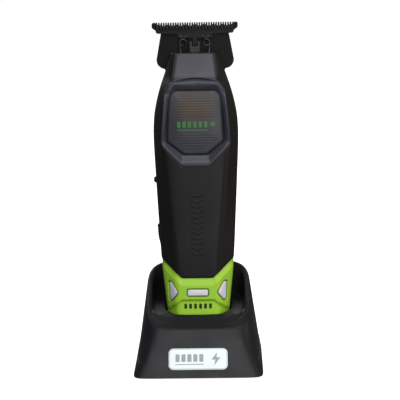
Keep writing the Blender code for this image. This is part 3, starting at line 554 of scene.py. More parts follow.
def metal(name, colour, rough, stretch=(1, 1, 1), depth=0.006, scale=900.0, metallic=1.0, specular=0.5):
    """Metal with drawn or ground marks along one direction."""
    nodes = Nodes(name)
    nodes.set(Metallic=metallic, Specular_IOR_Level=specular)
    marks = nodes.marks(scale, stretch)
    stops = [(0.3, shade(colour, 0.85)), (0.7, shade(colour, 1.12))]
    nodes.feed(
        Base_Color=nodes.ramp(nodes.noise(60.0), stops),
        Roughness=nodes.spread(marks, rough * 0.75, rough * 1.3),
        Normal=nodes.bump(marks, depth, 0.5),
    )
    return nodes.material


def lens_material():
    """Smoked window: copper-brown above, where the coil shows through, and slate below and beside it."""
    nodes = Nodes("smoked_lens")
    low, high = (v.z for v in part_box("window_lens"))
    split = nodes.add("SeparateXYZ", "X", nodes.place).node
    up = nodes.spread(split.outputs["Z"], 0.0, 1.0, low, high)
    stops = [
        (0.0, (0.034, 0.036, 0.052)),
        (0.45, (0.036, 0.036, 0.042)),
        (0.7, (0.055, 0.038, 0.026)),
        (1.0, (0.030, 0.027, 0.027)),
    ]
    reach = nodes.add("Math", "Value", split.outputs["X"], 0)
    reach.node.operation = "ABSOLUTE"
    mix = nodes.tree.nodes.new("ShaderNodeMix")
    mix.data_type = "RGBA"
    mix.inputs["A"].default_value = (0.036, 0.036, 0.042, 1)
    nodes.link(nodes.spread(reach, 1.0, 0.0, 0.006, 0.0095), mix.inputs["Factor"])
    nodes.link(nodes.ramp(up, stops), mix.inputs["B"])
    nodes.set(Specular_IOR_Level=0.22)
    nodes.feed(
        Base_Color=mix.outputs["Result"],
        Roughness=nodes.spread(nodes.noise(120.0, 4.0), 0.34, 0.44),
        Normal=nodes.bump(nodes.noise(200.0, 2.0), 0.003, 0.15),
    )
    return nodes.material


shell_black = plastic("shell_black", (0.0085, 0.0078, 0.0078), 0.45, specular=0.21)
dock_black = plastic("dock_black", (0.0085, 0.0080, 0.0105), 0.44, specular=0.2)
collar_green = plastic("collar_green", (0.31, 0.575, 0.034), 0.42, 1700.0, 0.008, 0.05, 0.35)
gunmetal = plastic("gunmetal", (0.029, 0.030, 0.042), 0.38, 1900.0, 0.006, 0.08, 0.27)
lens_dark = lens_material()
lamp_white = plastic("lamp_white", (0.66, 0.68, 0.72), 0.28, 900.0, 0.004, 0.03)
lamp_edge = plastic("lamp_edge", (0.15, 0.19, 0.12), 0.5, 1500.0, 0.006, 0.1, 0.3)
label_white = plastic("label_white", (0.72, 0.79, 0.80), 0.36, 800.0, 0.003, 0.02, 0.4)
label_print = plastic("label_print", (0.28, 0.33, 0.33), 0.45, 900.0, 0.003, 0.04, 0.3)
mark_green = plastic("mark_green", (0.045, 0.14, 0.045), 0.4, 1200.0, 0.003, 0.1, 0.2)
mark_black = plastic("mark_black", (0.02, 0.03, 0.012), 0.5, 1400.0, 0.006, 0.1, 0.2)
blade_black = metal("blade_black", (0.004, 0.004, 0.004), 0.36, (6, 6, 0.4), metallic=0.0, specular=0.08)
cutter_black = metal("cutter_black", (0.006, 0.006, 0.007), 0.36, (6, 6, 0.4), metallic=0.0, specular=0.12)
spring_wire = metal("spring_wire", (0.038, 0.038, 0.042), 0.3, metallic=0.8)
yoke_grey = plastic("yoke_grey", (0.024, 0.024, 0.026), 0.45, specular=0.2)
inner_grey = plastic("inner_grey", (0.10, 0.10, 0.11), 0.5)
plated_steel = metal("plated_steel", (0.42, 0.42, 0.43), 0.32, (1, 1, 0.2))
dark_steel = metal("dark_steel", (0.09, 0.09, 0.095), 0.34, (1, 1, 0.3))
contact_gold = metal("contact_gold", (0.80, 0.56, 0.20), 0.24)
winding_copper = metal("winding_copper", (0.60, 0.26, 0.11), 0.4, (0.3, 0.3, 8), 0.03, 600.0)
board_green = plastic("board_green", (0.012, 0.12, 0.05), 0.4, 700.0, 0.02, 0.25)
sleeve_blue = plastic("sleeve_blue", (0.02, 0.10, 0.38), 0.3, 500.0, 0.006)
foot_rubber = plastic("foot_rubber", (0.015, 0.015, 0.015), 0.8, 900.0, 0.03)

# -------- casing

bezel_outer = rounded(*mirrored(BEZEL, BEZEL_RADII))
bezel_inner = rounded(*mirrored(BEZEL_INNER, BEZEL_INNER_RADII))


def collar_line(x, shift):
    """Height of the stepped edge between casing and collar."""
    rise = (COLLAR_TIP - COLLAR_SHOULDER) / (COLLAR_SIDE - COLLAR_FLAT)
    ramp = np.maximum(np.abs(x) - COLLAR_FLAT, 0) * rise
    soft = 0.5 * (ramp + np.sqrt(ramp**2 + 0.02))
    return COLLAR_SHOULDER + np.minimum(soft, COLLAR_TIP - COLLAR_SHOULDER + 1.0) + shift


def edge_height(turn, shift):
    """The collar line's height at each turn round the casing."""
    height = np.full_like(turn, COLLAR_SHOULDER)
    for _ in range(12):
        height = collar_line(casing_point(height, turn)[..., 0], shift)
    return height


def make_half(name, side, node):
    """One casing half, as its outer skin with a wall behind it. side is -1 for the front one."""
    columns = 181
    turn = np.linspace(-math.pi / 2, math.pi / 2, columns) + (0 if side < 0 else math.pi)
    low = edge_height(turn, SEAM)
    share = clustered(230, 1.25)[:, None]
    height = low + (CASING_TOP - low) * share
    if side > 0:
        for step in (SEAT_LOW - 0.02, SEAT_LOW + 0.02):
            height[np.abs(height[:, columns // 2] - step).argmin()] = step
    points = casing_point(height, turn)
    normal = outwards(turn)
    parting = (through(height, 3) - through(height, 2)) / 2 + side * SEAM
    if side < 0:
        inside = distance_inside(points[..., 0], points[..., 2], bezel_outer)
        plate = plate_depth(points[..., 0], points[..., 2])
        under_bezel = BEZEL_SINK * smooth_step(0.15, 1.2, inside)
        under_plate = PLATE_SINK * smooth_step(0.05, 0.5, plate)
        points = points - normal * np.maximum(under_bezel, under_plate)[..., None]
        points[..., 1] = np.minimum(points[..., 1], parting)
    else:
        points[..., 1] = np.maximum(points[..., 1], parting)
        seat = points[..., 2] > SEAT_LOW
        points[..., 1] = np.where(seat, np.minimum(points[..., 1], SEAT_Y), points[..., 1])
    edge = np.minimum(points[..., 2] - low, CASING_TOP - points[..., 2])
    points -= normal * (0.22 * (1 - np.clip(edge / 0.5, 0, 1)) ** 2)[..., None]
    faces = grid_faces(*points.shape[:2])
    made = add_piece(name, points, faces, shell_black, "black_shell", (node,), 50)
    thicken(made, WALL)
    bake(made)
    return made


def plate_half(height):
    """Half width of the neck plate at a height."""
    return np.interp(height, (128.0, 142.9), (11.15, 9.5))


def plate_low(x):
    """The neck plate's arched lower edge."""
    return PLATE_LOW - PLATE_ARCH * (x / 10.8) ** 2


def plate_depth(x, height):
    """How far inside the neck plate's outline a point lies. The notch below it is part of it."""
    sides = plate_half(height) + PLATE_GAP - np.abs(x)
    return np.minimum(sides, height - (plate_low(x) - PLATE_NOTCH))


def make_neck_plate():
    rows, columns = 60, 61
    across = clustered(columns, 2.2) * 2 - 1
    share = clustered(rows, 2.2)[:, None]
    height = np.full((rows, columns), 135.0)
    for _ in range(8):
        x = across * plate_half(height)
        height = plate_low(x) + (PLATE_TOP - plate_low(x)) * share
    x = across * plate_half(height)
    ends = np.minimum(height - plate_low(x), PLATE_TOP - height)
    edge = np.minimum(plate_half(height) - np.abs(x), ends)
    points = on_front(x, height, 0.16 - 0.85 * (1 - np.clip(edge / 0.55, 0, 1)) ** 2.4)
    faces = grid_faces(rows, columns)
    made = add_piece("neck_cover", points, faces, gunmetal, "gunmetal", ("neck_plate",), 60)
    thicken(made, 1.0)


def make_window():
    """The gunmetal surround, the smoked lens with its fine ribs, and the charge bars on it."""
    section = (
        (0.0, -1.3), (0.0, -0.05), (0.03, 0.1), (0.08, 0.2), (0.15, 0.26), (0.26, 0.27), (0.36, 0.18),
        (0.45, -0.08), (0.58, -0.6), (0.72, -1.2), (0.86, -1.75), (0.95, -2.05), (1.0, -2.4), (1.0, -3.1),
    )
    name = "window_surround"
    band(name, bezel_outer, bezel_inner, section, gunmetal, "gunmetal", ("window_bezel",))
    make_lens()
    for k in range(6):
        corners = block(0.875, 1.55, -8.125 + 2.65 * k, 107.55)
        pill(f"charge_bar_{k}", corners, 0.4, -1.06, -1.0, mark_green)
    pill("charge_underline", block(7.5, 0.25, -1.5, 104.85), 0.24, -1.06, -1.01, mark_green)
    diamond = [(8.6, 109.1), (10.2, 107.6), (8.6, 106.0), (7.0, 107.6)]
    pill("charge_lamp", diamond, 0.7, -1.12, -1.05, mark_green)


def make_lens():
    outline = rounded(*mirrored([(x - 0.7, z) for x, z in WINDOW], WINDOW_RADII))
    right = outline[outline[:, 0] > 0]
    right = right[np.argsort(right[:, 1])]
    low, high = right[0, 1] + 0.4, right[-1, 1] - 0.4
    height = (low + (high - low) * clustered(261, 1.15))[:, None]
    half = np.interp(height, right[:, 1], right[:, 0])
    x = (clustered(71, 1.8) * 2 - 1) * half
    height = height + np.zeros_like(x)
    edge = np.maximum(distance_inside(x, height, outline), 0)
    dome = -1.5 + 0.45 * smooth_step(0, 9, edge) - 0.9 * (1 - np.clip(edge / 1.3, 0, 1)) ** 2
    bands = smooth_step(93.5, 95, height) - smooth_step(102.6, 103.6, height)
    bands += smooth_step(110.4, 111.4, height) - smooth_step(120.4, 121.6, height)
    ribs = RIB_HEIGHT * np.cos(FULL_TURN * height / RIB_PITCH) * bands * smooth_step(2.2, 4.0, edge)
    points = on_front(x, height, dome + ribs)
    faces = grid_faces(*x.shape)
    lens = add_piece("lens_face", points, faces, lens_dark, "dark_lens", ("window_lens",), 60)
    thicken(lens, 1.0)


def make_grip_marks():
    """A column of short raised bars down the front, each bent in its middle."""
    radii = [0.3, 0.3, 0.8, 0.3, 0.3, 0.8]
    section = ((0.0, -0.3), (0.0, 0.02), (0.06, 0.13), (0.16, 0.2), (0.34, 0.22), (0.7, 0.22), (0.97, 0.22))
    for k in range(GRIP_COUNT):
        z = GRIP_LOW + GRIP_PITCH * k
        lower = [(GRIP_X + GRIP_HALF, z + GRIP_BEND), (GRIP_X, z), (GRIP_X - GRIP_HALF, z + GRIP_BEND)]
        left, middle, right = [(x, y + GRIP_WIDTH) for x, y in reversed(lower)]
        outline = rounded([right, *lower, left, middle], radii, 4, 6)
        out = outline[:, 0] - GRIP_X
        bend = np.abs(out) / GRIP_HALF * GRIP_BEND
        inner = np.column_stack((GRIP_X + out * 0.85, outline[:, 1].mean() - GRIP_BEND / 2 + bend))
        band(f"grip_mark_{k}", outline, inner, section, shell_black, "black_shell", (), True)


# -------- collar


def light_outline(corners):
    radii = [0.7] * 4 if len(corners) == 4 else [0.75, 0.75, 1.0]
    if corners[0][0] < 0:
        corners, radii = corners[::-1], radii[::-1]
    return rounded(corners, radii, 6, 10)


def collar_sink(points, turn, drop):
    """How far the chamfer, the light openings and the lower panel lie inside the casing's line."""
    x, z = points[..., 0], points[..., 2]
    facing = np.cos(turn)
    chamfer = CHAMFER_SINK * np.clip(1 - drop / CHAMFER, 0, 1)
    sink = chamfer * (0.2 + 0.8 * smooth_step(0.0, 0.45, np.abs(facing)))
    for corners in LIGHTS.values():
        opening = smooth_step(-0.62, -0.3, distance_inside(x, z, light_outline(corners)))
        sink = np.maximum(sink, np.where(facing > 0.1, LIGHT_DEPTH * opening, 0))
    trough = rounded(TROUGH, TROUGH_RADII)
    depth = TROUGH_DEPTH * smooth_step(0.0, 1.3, distance_inside(x, z, trough))
    return np.maximum(sink, depth * smooth_step(0.1, 0.45, facing))


def make_collar():
    """The green collar: a chamfered step under the casing, light openings and a sunk lower panel."""
    columns = 360
    even = around(columns)
    turn = even - 0.35 * np.sin(even)
    top = edge_height(turn, -SEAM)
    lip = np.linspace(0, 0.4, 5)
    slope = np.linspace(0.6, CHAMFER - 0.35, 12)
    crease = np.linspace(CHAMFER - 0.25, CHAMFER + 0.25, 5)
    upper = top - np.concatenate((lip, slope, crease))[:, None]
    rest = np.linspace(0, 1, 109)[1:, None]
    height = np.concatenate((upper, upper[-1] + (COLLAR_LOW - upper[-1]) * rest))
    points = casing_point(height, turn)
    points = points - outwards(turn) * collar_sink(points, turn, top - height)[..., None]
    faces = grid_faces(len(height), columns, closed=True, flip=True)
    made = add_piece("collar_shell", points, faces, collar_green, "green_collar", ("base_collar",), 28)
    thicken(made, 1.5)
    for tag, corners in LIGHTS.items():
        make_lamp(tag, light_outline(corners))
    for k in range(6):
        corners = block(0.7, 1.35, -6.2 + 2.48 * k, 17.05)
        pill(f"collar_slot_{k}", corners, 0.6, -0.82, -0.72, mark_black)


def make_lamp(tag, outline):
    """A white lens in the collar with a fine frame round it."""
    out = outline - outline.mean(0)
    wide = outline + out / np.linalg.norm(out, axis=1).max() * LIGHT_BORDER
    section = ((0.0, -1.2), (0.0, -0.22), (0.3, -0.1), (0.7, -0.12), (0.9, -0.25), (1.0, -0.5), (1.0, -1.2))
    band(f"light_frame_{tag}", wide, outline, section, lamp_edge, "green_collar")
    section = (
        (0.03, -1.3), (0.03, -0.45), (0.05, -0.3), (0.09, -0.2),
        (0.16, -0.13), (0.3, -0.08), (0.6, -0.04), (0.97, -0.03),
    )
    pad(f"light_lens_{tag}", outline, section, lamp_white, "white_light", (f"base_light_{tag}",))


# -------- blades


def blade_plate(name, right, front, thick, look, node, body="clipper"):
    """A flat plate with its edges broken, from the right half of its outline."""
    outline = right + [(-x, z) for x, z in reversed(right)]
    points, faces = prism(outline, front, thick)
    made = add_piece(name, points, faces, look, "black_blade", (node,), 30, body)
    bevel(made, 0.14)
    return made


def teeth(name, pitch, count, root, tip, front, thick, widths, overlap, look, body="clipper"):
    """A row of ground teeth: each narrows and thins towards a blunt, rounded tip."""
    shape = ((0.0, 1.0, 1.0), (0.55, 0.86, 0.86), (0.85, 0.66, 0.6), (1.0, 0.34, 0.3))
    stations = [(root - overlap, 1.0, 1.0)]
    stations += [(root + (tip - root) * share, slim, thin) for share, slim, thin in shape]
    low_half, high_half = widths
    back = front + thick
    points, faces = [], []
    for k in range(count):
        x = (k - (count - 1) / 2) * pitch
        faces += grid_faces(len(stations), 6, closed=True, start=len(points))
        faces += caps(len(stations), 6, len(points))
        for z, slim, thin in stations:
            half = high_half + (low_half - high_half) * (slim - 0.34) / 0.66
            near = back - thick * thin
            bite = min(0.12, half * 0.4)
            points += [
                (x - half, near + bite, z), (x - half + bite, near, z), (x + half - bite, near, z),
                (x + half, near + bite, z), (x + half, back, z), (x - half, back, z),
            ]
    add_piece(name, points, faces, look, "black_blade", (), 30, body)


def make_blades():
    lobe = arc(20.5, 157.15, 1.15, 165, 0) + arc(20.25, 156.25, 1.4, 0, -72)
    heel = [(19.5, 154.0), (17.0, 153.3), (19.4, 140.2)] + arc(14.9, 139.6, 4.6, -2, -86)
    right = [(19.35, 156.6)] + lobe + heel
    plate = blade_plate("blade_plate", right, BLADE_FRONT, BLADE_THICK, blade_black, "fixed_blade")
    bake(plate)
    carve(plate, [rod_tool((x, 3.0, 139.0), BACKWARDS, 1.35, 6.0) for x in (-BLADE_HOLE_X, BLADE_HOLE_X)])
    teeth("blade_teeth", 1.2, 33, 156.4, 158.3, 4.85, 1.6, (0.45, 0.27), 2.2, blade_black)
    shoulder = [(19.6, 154.6), (19.6, 153.4), (18.9, 152.7), (9.2, 152.4), (8.4, 150.2)]
    right = shoulder + [(1.15, 150.2), (1.15, 146.6)]
    blade_plate("cutter_plate", right, CUTTER_FRONT, CUTTER_THICK, cutter_black, "moving_blade", "cutter")
    widths = (0.52, 0.3)
    teeth("cutter_teeth", 1.62, 24, 155.0, 157.2, CUTTER_FRONT, 1.35, widths, 1.3, cutter_black, "cutter")
    profile = [(0.56, 0.0), (0.62, 0.08), (0.62, 0.5)]
    for tag, side in SIDES:
        points, faces = turned(profile, 24, (side * 6.8, 3.25, 151.3), (0, -1, 0))
        add_piece(f"cutter_dimple_{tag}", points, faces, yoke_grey, "black_blade", body="cutter")


def make_spring():
    """One wire: tips on the cutter, a coil each side, legs down into the neck and a bridge between."""
    coil_x, coil_z, radius, turns, steps = 5.9, 148.1, 1.55, 2.25, 40
    right = [(3.4, 2.65, 151.6), (4.4, 2.6, 151.3), (5.0, 2.55, 150.4)]
    for k in range(steps + 1):
        turn = math.radians(95) - FULL_TURN * turns * k / steps
        y = 2.5 - 2.1 * k / steps
        right.append((coil_x + radius * math.cos(turn), y, coil_z + radius * math.sin(turn)))
    for inset, y, z in ((0.1, 0.35, 146.4), (0.2, 0.2, 144.0), (0.5, -1.2, 141.0), (1.2, -2.3, 139.2)):
        right.append((coil_x + radius - inset, y, z))
    curve = bpy.data.curves.new("torsion_spring", "CURVE")
    curve.dimensions = "3D"
    curve.bevel_depth = 0.34 * MM
    curve.bevel_resolution = 4
    curve.use_fill_caps = True
    spline = curve.splines.new("POLY")
    route = placed(right + [(-x, y, z) for x, y, z in reversed(right)], held)
    spline.points.add(len(route) - 1)
    for target, point in zip(spline.points, route):
        target.co = (*point, 1.0)
    spline.use_smooth = True
    made = new_object("torsion_spring", curve)
    dress(made, spring_wire, ("blade_spring",), "clipper")


def make_contact_spring(tag, x):
    """A small coil under a contact pin."""
    steps, sides = 100, 10
    up = np.array((0.0, 0.0, 1.0))
    ring = around(sides)[:, None]
    rows = []
    for k in range(steps + 1):
        share = k / steps
        turn = FULL_TURN * COIL_TURNS * share
        out = np.array((math.cos(turn), math.sin(turn), 0.0))
        centre = np.array((x, 0.0, COIL_LOW + (COIL_HIGH - COIL_LOW) * share)) + out * COIL_RADIUS
        rows.append(centre + COIL_WIRE * (np.cos(ring) * out + np.sin(ring) * up))
    faces = grid_faces(steps + 1, sides, closed=True, flip=True)
    faces += [cap[::-1] for cap in caps(steps + 1, sides)]
    name, replaces = f"pin_spring_{tag}", (f"contact_spring_{tag}",)
    made = add_piece(name, np.concatenate(rows), faces, spring_wire, "spring_steel", replaces, 60, "dock")
    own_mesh(made)


# -------- screws


def make_screw(name, centre, axis, radius, node, body="clipper", where=held):
    """A pan-head screw with a cross recess. axis points out of the head."""
    profile = [
        (radius * 0.45, -2.0), (radius * 0.45, -0.9), (radius, -0.9), (radius, -0.35),
        (radius * 0.93, -0.12), (radius * 0.75, -0.02), (radius * 0.4, 0.0),
    ]
    points, faces = turned(profile, 40, centre, axis)
    made = add_piece(name, points, faces, dark_steel, "motor_steel", (node,), 35, body, where)
    centre, axis = Vector(centre), Vector(axis).normalized()
    side = axis.orthogonal().normalized()
    tools = []
    for along in (side, axis.cross(side)):
        across = axis.cross(along) * radius * 0.13
        points = [
            tuple(centre + axis * depth + along * a * radius * long + across * b)
            for depth, long in ((-0.55, 0.55), (0.3, 0.66))
            for a, b in ((-1, -1), (1, -1), (1, 1), (-1, 1))
        ]
        tools.append(new_mesh("tool", points, BOX_FACES, where))
    carve(made, tools)


def screw_place(node):
    """The middle of a screw's head face, which looks backwards, in the clipper's frame."""
    points = node_points(node, held)
    face = points[points[:, 1] > points[:, 1].max() - 0.05]
    return tuple((face.max(0) + face.min(0)) / 2)


def make_well(name, spot):
    """The tube that a casing screw sits in. It ends flush with the casing's back."""
    section = ((0.9, 0.0), (2.12, 0.0), (2.12, 0.5), (2.12, 0.94), (2.3, 0.99), (2.8, 0.97), (2.8, -0.1))
    sides = 48
    turns = around(sides)
    floor = spot[1] - 0.95
    rows = []
    for radius, share in section:
        x, z = spot[0] + radius * np.cos(turns), spot[2] + radius * np.sin(turns)
        rows.append(np.column_stack((x, floor + (surface_y(x, z, True) - floor) * share, z)))
    faces = grid_faces(len(rows), sides, closed=True)
    add_piece(name, np.concatenate(rows), faces, shell_black, "black_shell")


# -------- controls


def make_slider():
    """The power slider's thumb piece, with fine ribs over its upper part."""
    low, high = node_box("power_slider")
    rows, columns = 90, 41
    first, last = (casing_point(z, -math.pi / 2)[0] for z in (low[2], high[2]))
    share = np.linspace(0, 1, rows)[:, None]
    crown = 0.95 * smooth_step(0.0, 0.62, share) * (1 - smooth_step(0.93, 1.0, share)) + 0.06
    ribs = 0.16 * (0.5 + 0.5 * np.cos(FULL_TURN * (share - 0.6) * 9.0))
    ribs = ribs * smooth_step(0.5, 0.56, share) * (1 - smooth_step(0.88, 0.93, share))
    across = clustered(columns, 2.0) * 2 - 1
    soft = 1 - np.abs(across) ** 6
    x = first + (last - first) * share - (crown - ribs) * soft + 0.5 * (1 - soft)
    z = low[2] + (high[2] - low[2]) * share
    points = np.stack(np.broadcast_arrays(x, across * 3.05, z), axis=-1)
    faces = grid_faces(rows, columns, flip=True)
    replaces = ("power_slider",)
    made = add_piece("slider_thumb", points, faces, shell_black, "black_shell", replaces, 50, "power_slider")
    thicken(made, 1.1)


def make_button():
    low, high = node_box("speed_button")
    centre = (low[0], (low[1] + high[1]) / 2, (low[2] + high[2]) / 2)
    profile = [(1.6, -3.0), (1.6, -1.0), (1.5, -0.62), (1.26, -0.3), (0.88, -0.09), (0.35, 0.0)]
    points, faces = turned(profile, 40, centre, (-1, 0, 0))
    replaces = ("speed_button",)
    add_piece("button_cap", points, faces, shell_black, "black_shell", replaces, body="speed_button")


def side_tools():
    """The slider's track and the button's hole, which both casing halves share."""
    slider_low, slider_high = node_box("power_slider")
    button_low, button_high = node_box("speed_button")
    low, high = slider_low[2] - 0.3, slider_high[2] + 3.3
    floor = -casing_point(high, math.pi / 2)[0] + 1.3
    middle = (button_low[2] + button_high[2]) / 2
    return [
        box_tool((-30, -3.35, low), (floor, 3.35, high)),
        rod_tool((-30, 0, middle), (1, 0, 0), 1.85, 18),
    ]


# -------- dock


def oval(half, front, back, square, turn):
    """A squared oval. turn is 0 at the front and grows towards +X."""
    depth = (back - front) / 2
    across, along = np.abs(np.sin(turn)), np.abs(np.cos(turn))
    reach = ((across / half) ** square + (along / depth) ** square) ** (-1 / square)
    return reach * np.sin(turn), (back + front) / 2 - reach * np.cos(turn)


def rim_oval(turn, inset):
    return oval(RIM_HALF - inset, RIM_FRONT + inset, RIM_BACK - inset, RIM_SQUARE, turn)


def rim_plane(y):
    return RIM_HEIGHT + (y - RIM_FRONT) * RIM_SLOPE


def side_ring(turn, height, inset=0.0):
    """The dock's outside at a height, between its footprint and its sloping rim."""
    fx, fy = oval(HALF_WIDTH - inset, DOCK_FRONT + inset, DOCK_BACK - inset, FOOT_SQUARE, turn)
    rx, ry = rim_oval(turn, inset)
    share = (height - SKIRT_LOW) / (rim_plane(ry) - SKIRT_LOW)
    step = np.where(height <= SKIRT_TOP + 0.01, SKIRT_STEP, 0.0)
    x = fx + (rx - fx) * share
    return np.stack((x * (1 + step / HALF_WIDTH), fy + (ry - fy) * share, height + 0 * x), axis=-1)


def rim_ring(turn, inset, drop):
    x, y = rim_oval(turn, inset)
    return np.stack((x, y, rim_plane(y) - drop), axis=-1)


def well_height(y):
    """The floor of the recess round the pocket, which runs out on the sloping top at the front."""
    return np.minimum(WELL_HEIGHT + y * WELL_SLOPE, rim_plane(y) - 0.5)


def well_ring(turn, inset, lift=0.0):
    x, y = rim_oval(turn, inset)
    return np.stack((x, y, well_height(y) + lift), axis=-1)


def grown(height, turn, grow):
    """Points of the clipper's outline, grown a little, in the row frame's mm."""
    return placed(casing_point(height, turn, -grow), held) / MM


def pocket_ring(turn, grow, drop):
    """Where the pocket's wall, the clipper's outline grown a little, meets the recess's floor."""
    low, high = np.zeros_like(turn), np.full_like(turn, 60.0)
    for _ in range(30):
        middle = (low + high) / 2
        world = grown(middle, turn, grow)
        under = world[:, 2] < well_height(world[:, 1]) - drop
        low, high = np.where(under, middle, low), np.where(under, high, middle)
    return grown(low, turn, grow)


def quarter(steps):
    """Angles of a quarter turn, without its start."""
    return [math.pi / 2 * k / steps for k in range(1, steps + 1)]


def between(first, last, shares):
    return [first + (last - first) * share for share in shares]


def inner_rings(turn, front):
    """From the pocket's floor, up its wall and over the recess to the rim. front is 1 at the front."""
    floor = grown(-0.3, turn, 0.8)
    mouth = pocket_ring(turn, POCKET_GAP, 1.0)
    rows = [floor * s + floor.mean(0) * (1 - s) for s in (0.02, 0.3, 0.6, 0.85, 0.95)]
    rows += between(floor, mouth, (0.02, 0.1, 0.3, 0.55, 0.8, 0.95, 1.0))
    for t in quarter(6):
        rows.append(pocket_ring(turn, POCKET_GAP + 0.9 * (1 - math.cos(t)), 1.0 - math.sin(t)))
    bottom = WELL_INSET + 1.6 + 1.0 * front
    rows += between(rows[-1], well_ring(turn, bottom), (0.25, 0.5, 0.75, 1.0))
    for t in quarter(7):
        rows.append(well_ring(turn, bottom - 1.4 * math.sin(t), 0.9 * (1 - math.cos(t)) * (1 - front)))
    crest, drop = 1.4 + 1.2 * front, 0.2 + 0.3 * front
    wall = rim_ring(turn, crest + 1.0 - 0.4 * front, drop + 1.0 - front)
    rows += between(rows[-1], wall, (0.2, 0.4, 0.6, 0.8, 1.0))
    for t in quarter(6):
        inward = (1.0 - 0.4 * front) * (1 - math.sin(t))
        rows.append(rim_ring(turn, crest + inward, drop + (1.0 - front) * (1 - math.sin(t))))
    return rows


def outer_rings(turn, start):
    """From the rim, down the outside and the skirt, and back up inside the shell."""
    corner = rim_ring(turn, 0.0, 0.1)
    end = side_ring(turn, corner[:, 2] - 1.7)
    bend = np.linspace(0, 1, 15)[1:]
    rows = [start * (1 - t) ** 2 + corner * 2 * t * (1 - t) + end * t * t for t in bend]
    rows += between(rows[-1], side_ring(turn, SKIRT_TOP + 0.35), np.linspace(0, 1, 22)[1:])
    rows += [side_ring(turn, z) for z in (SKIRT_TOP + 0.12, SKIRT_TOP, SKIRT_TOP - 0.25, 5.0, 3.0, 1.4)]
    wall = SHELL_WALL
    lip = ((0.95, 0.03), (0.84, 0.12), (SKIRT_LOW, 0.3), (SKIRT_LOW, wall - 0.1), (1.4, wall), (4.5, wall))
    rows += [side_ring(turn, height, inset) for height, inset in lip]
    under = well_height(rim_ring(turn, wall, 0.0)[:, 1]) - wall
    return rows + [side_ring(turn, under, wall), pocket_ring(turn, 3.2, wall), grown(-2.7, turn, 3.2)]


def make_dock():
    columns = 360
    turn = around(columns)
    front = smooth_step(10.0, 20.0, -rim_ring(turn, 0.0, 0.0)[:, 1])
    rows = inner_rings(turn, front)
    rows += outer_rings(turn, rows[-1])
    faces = grid_faces(len(rows), columns, closed=True) + caps(len(rows), columns)
    replaces, points = ("dock_shell",), np.concatenate(rows)
    made = add_piece("dock_body", points, faces, dock_black, "dock_black", replaces, 0, "dock", upright)
    turn_out(made)
    socket = prism(rounded(block(5.0, 2.0, 0.0, 7.9), [1.6] * 4, 8, 4), 26.0, 10.5)
    tools = [new_mesh("tool", *socket, upright)]
    turn_out(tools[0])
    tools += [rod_tool((x, 0.0, -4.0), (0, 0, 1), 1.3, 6.0) for x in (-CONTACT_X, CONTACT_X)]
    carve(made, tools)
    made.data.set_sharp_from_angle(angle=math.radians(38))


def on_label(x, height, lift):
    """Points on the label plate, lifted off it, in the plate's own frame."""
    return np.column_stack((x, -LABEL_RECESS - lift, height))


def make_label():
    """The white plate on the dock's front, with a thin grey line near its edge that paints the shade along
    the plate's edge, and a plain charging symbol.
    """
    points = node_points("dock_label_plate", upright)
    middle = (points.max(0) + points.min(0)) / 2
    lean = math.atan2(RIM_FRONT - DOCK_FRONT, RIM_HEIGHT - SKIRT_LOW)
    where = Matrix.Translation(Vector(middle) * MM) @ Matrix.Rotation(-lean, 4, "X")
    ride = {"lay": on_label, "body": "dock", "where": where}

    def shape(corners, radius):
        return rounded(corners, [radius] * len(corners), 10, 12)

    def mark(name, corners, radius, section):
        pad(name, shape(corners, radius), section, label_print, "white_label", **ride)

    plate = ((0.0, -0.9), (0.0, -0.2), (0.012, -0.07), (0.03, -0.01), (0.06, 0.02), (0.3, 0.05), (0.97, 0.08))
    face = shape(block(14.4, 5.4), 2.4)
    pad("label_face", face, plate, label_white, "white_label", ("dock_label_plate",), **ride)
    # A thin grey line just inside the plate's edge, in the print's colour: painted shade along the label's
    # edge.
    line = ((0.0, 0.0), (0.0, 0.07), (0.5, 0.09), (1.0, 0.07), (1.0, 0.0))
    outer, inner = shape(block(14.0, 5.0), 2.1), shape(block(13.85, 4.85), 1.785)
    band("label_frame", outer, inner, line, label_print, "white_label", **ride)
    raised = ((0.0, 0.0), (0.0, 0.1), (0.1, 0.13), (0.9, 0.14))
    for k in range(5):
        mark(f"label_bar_{k}", block(1.0, 1.9, -10.0 + 2.9 * k, 0.5), 0.3, raised)
    mark("label_line", block(6.9, 0.2, -4.1, -2.7), 0.15, raised)
    bolt = [(9.3, 3.4), (6.6, -0.4), (8.5, -0.4), (7.8, -3.4), (11.0, 0.75), (9.0, 0.75)]
    mark("label_bolt", bolt, 0.06, ((0.0, 0.0), (0.0, 0.12), (0.0, 0.12)))


# -------- carried-over nodes

FEET = tuple(f"dock_foot_{row}_{side}" for row in ("front", "rear") for side in ("left", "right"))
FINISHES = (
    (inner_grey, ("dock_base_plate", "contact_block", "motor_end_cap", "battery_holder", "push_switch")),
    (yoke_grey, ("cutter_yoke",)),
    (plated_steel, ("dock_ballast", "dock_power_socket", "motor_can", "motor_mount", "motor_shaft")),
    (plated_steel, ("motor_screw_left", "motor_screw_right", "slide_switch")),
    (dark_steel, ("blade_bracket",)),
    (board_green, ("dock_circuit_board", "side_board")),
    (contact_gold, ("contact_pin_left", "contact_pin_right", "contact_pad_left", "contact_pad_right")),
    (contact_gold, ("eccentric_cam",)),
    (shell_black, ("base_cap",)),
    (sleeve_blue, ("battery_cell",)),
    (winding_copper, ("motor_armature",)),
    (foot_rubber, FEET),
)
SOFT_EDGES = {"cutter_yoke": 0.25, "base_cap": 0.3, "dock_power_socket": 0.2, "blade_bracket": 0.25}


def finish_nodes():
    for look, names in FINISHES:
        for name in names:
            materials = frame["nodes"][name].data.materials
            materials.clear()
            materials.append(look)
    for name, width in SOFT_EDGES.items():
        bevel(frame["nodes"][name], width, 35)


# -------- assembly


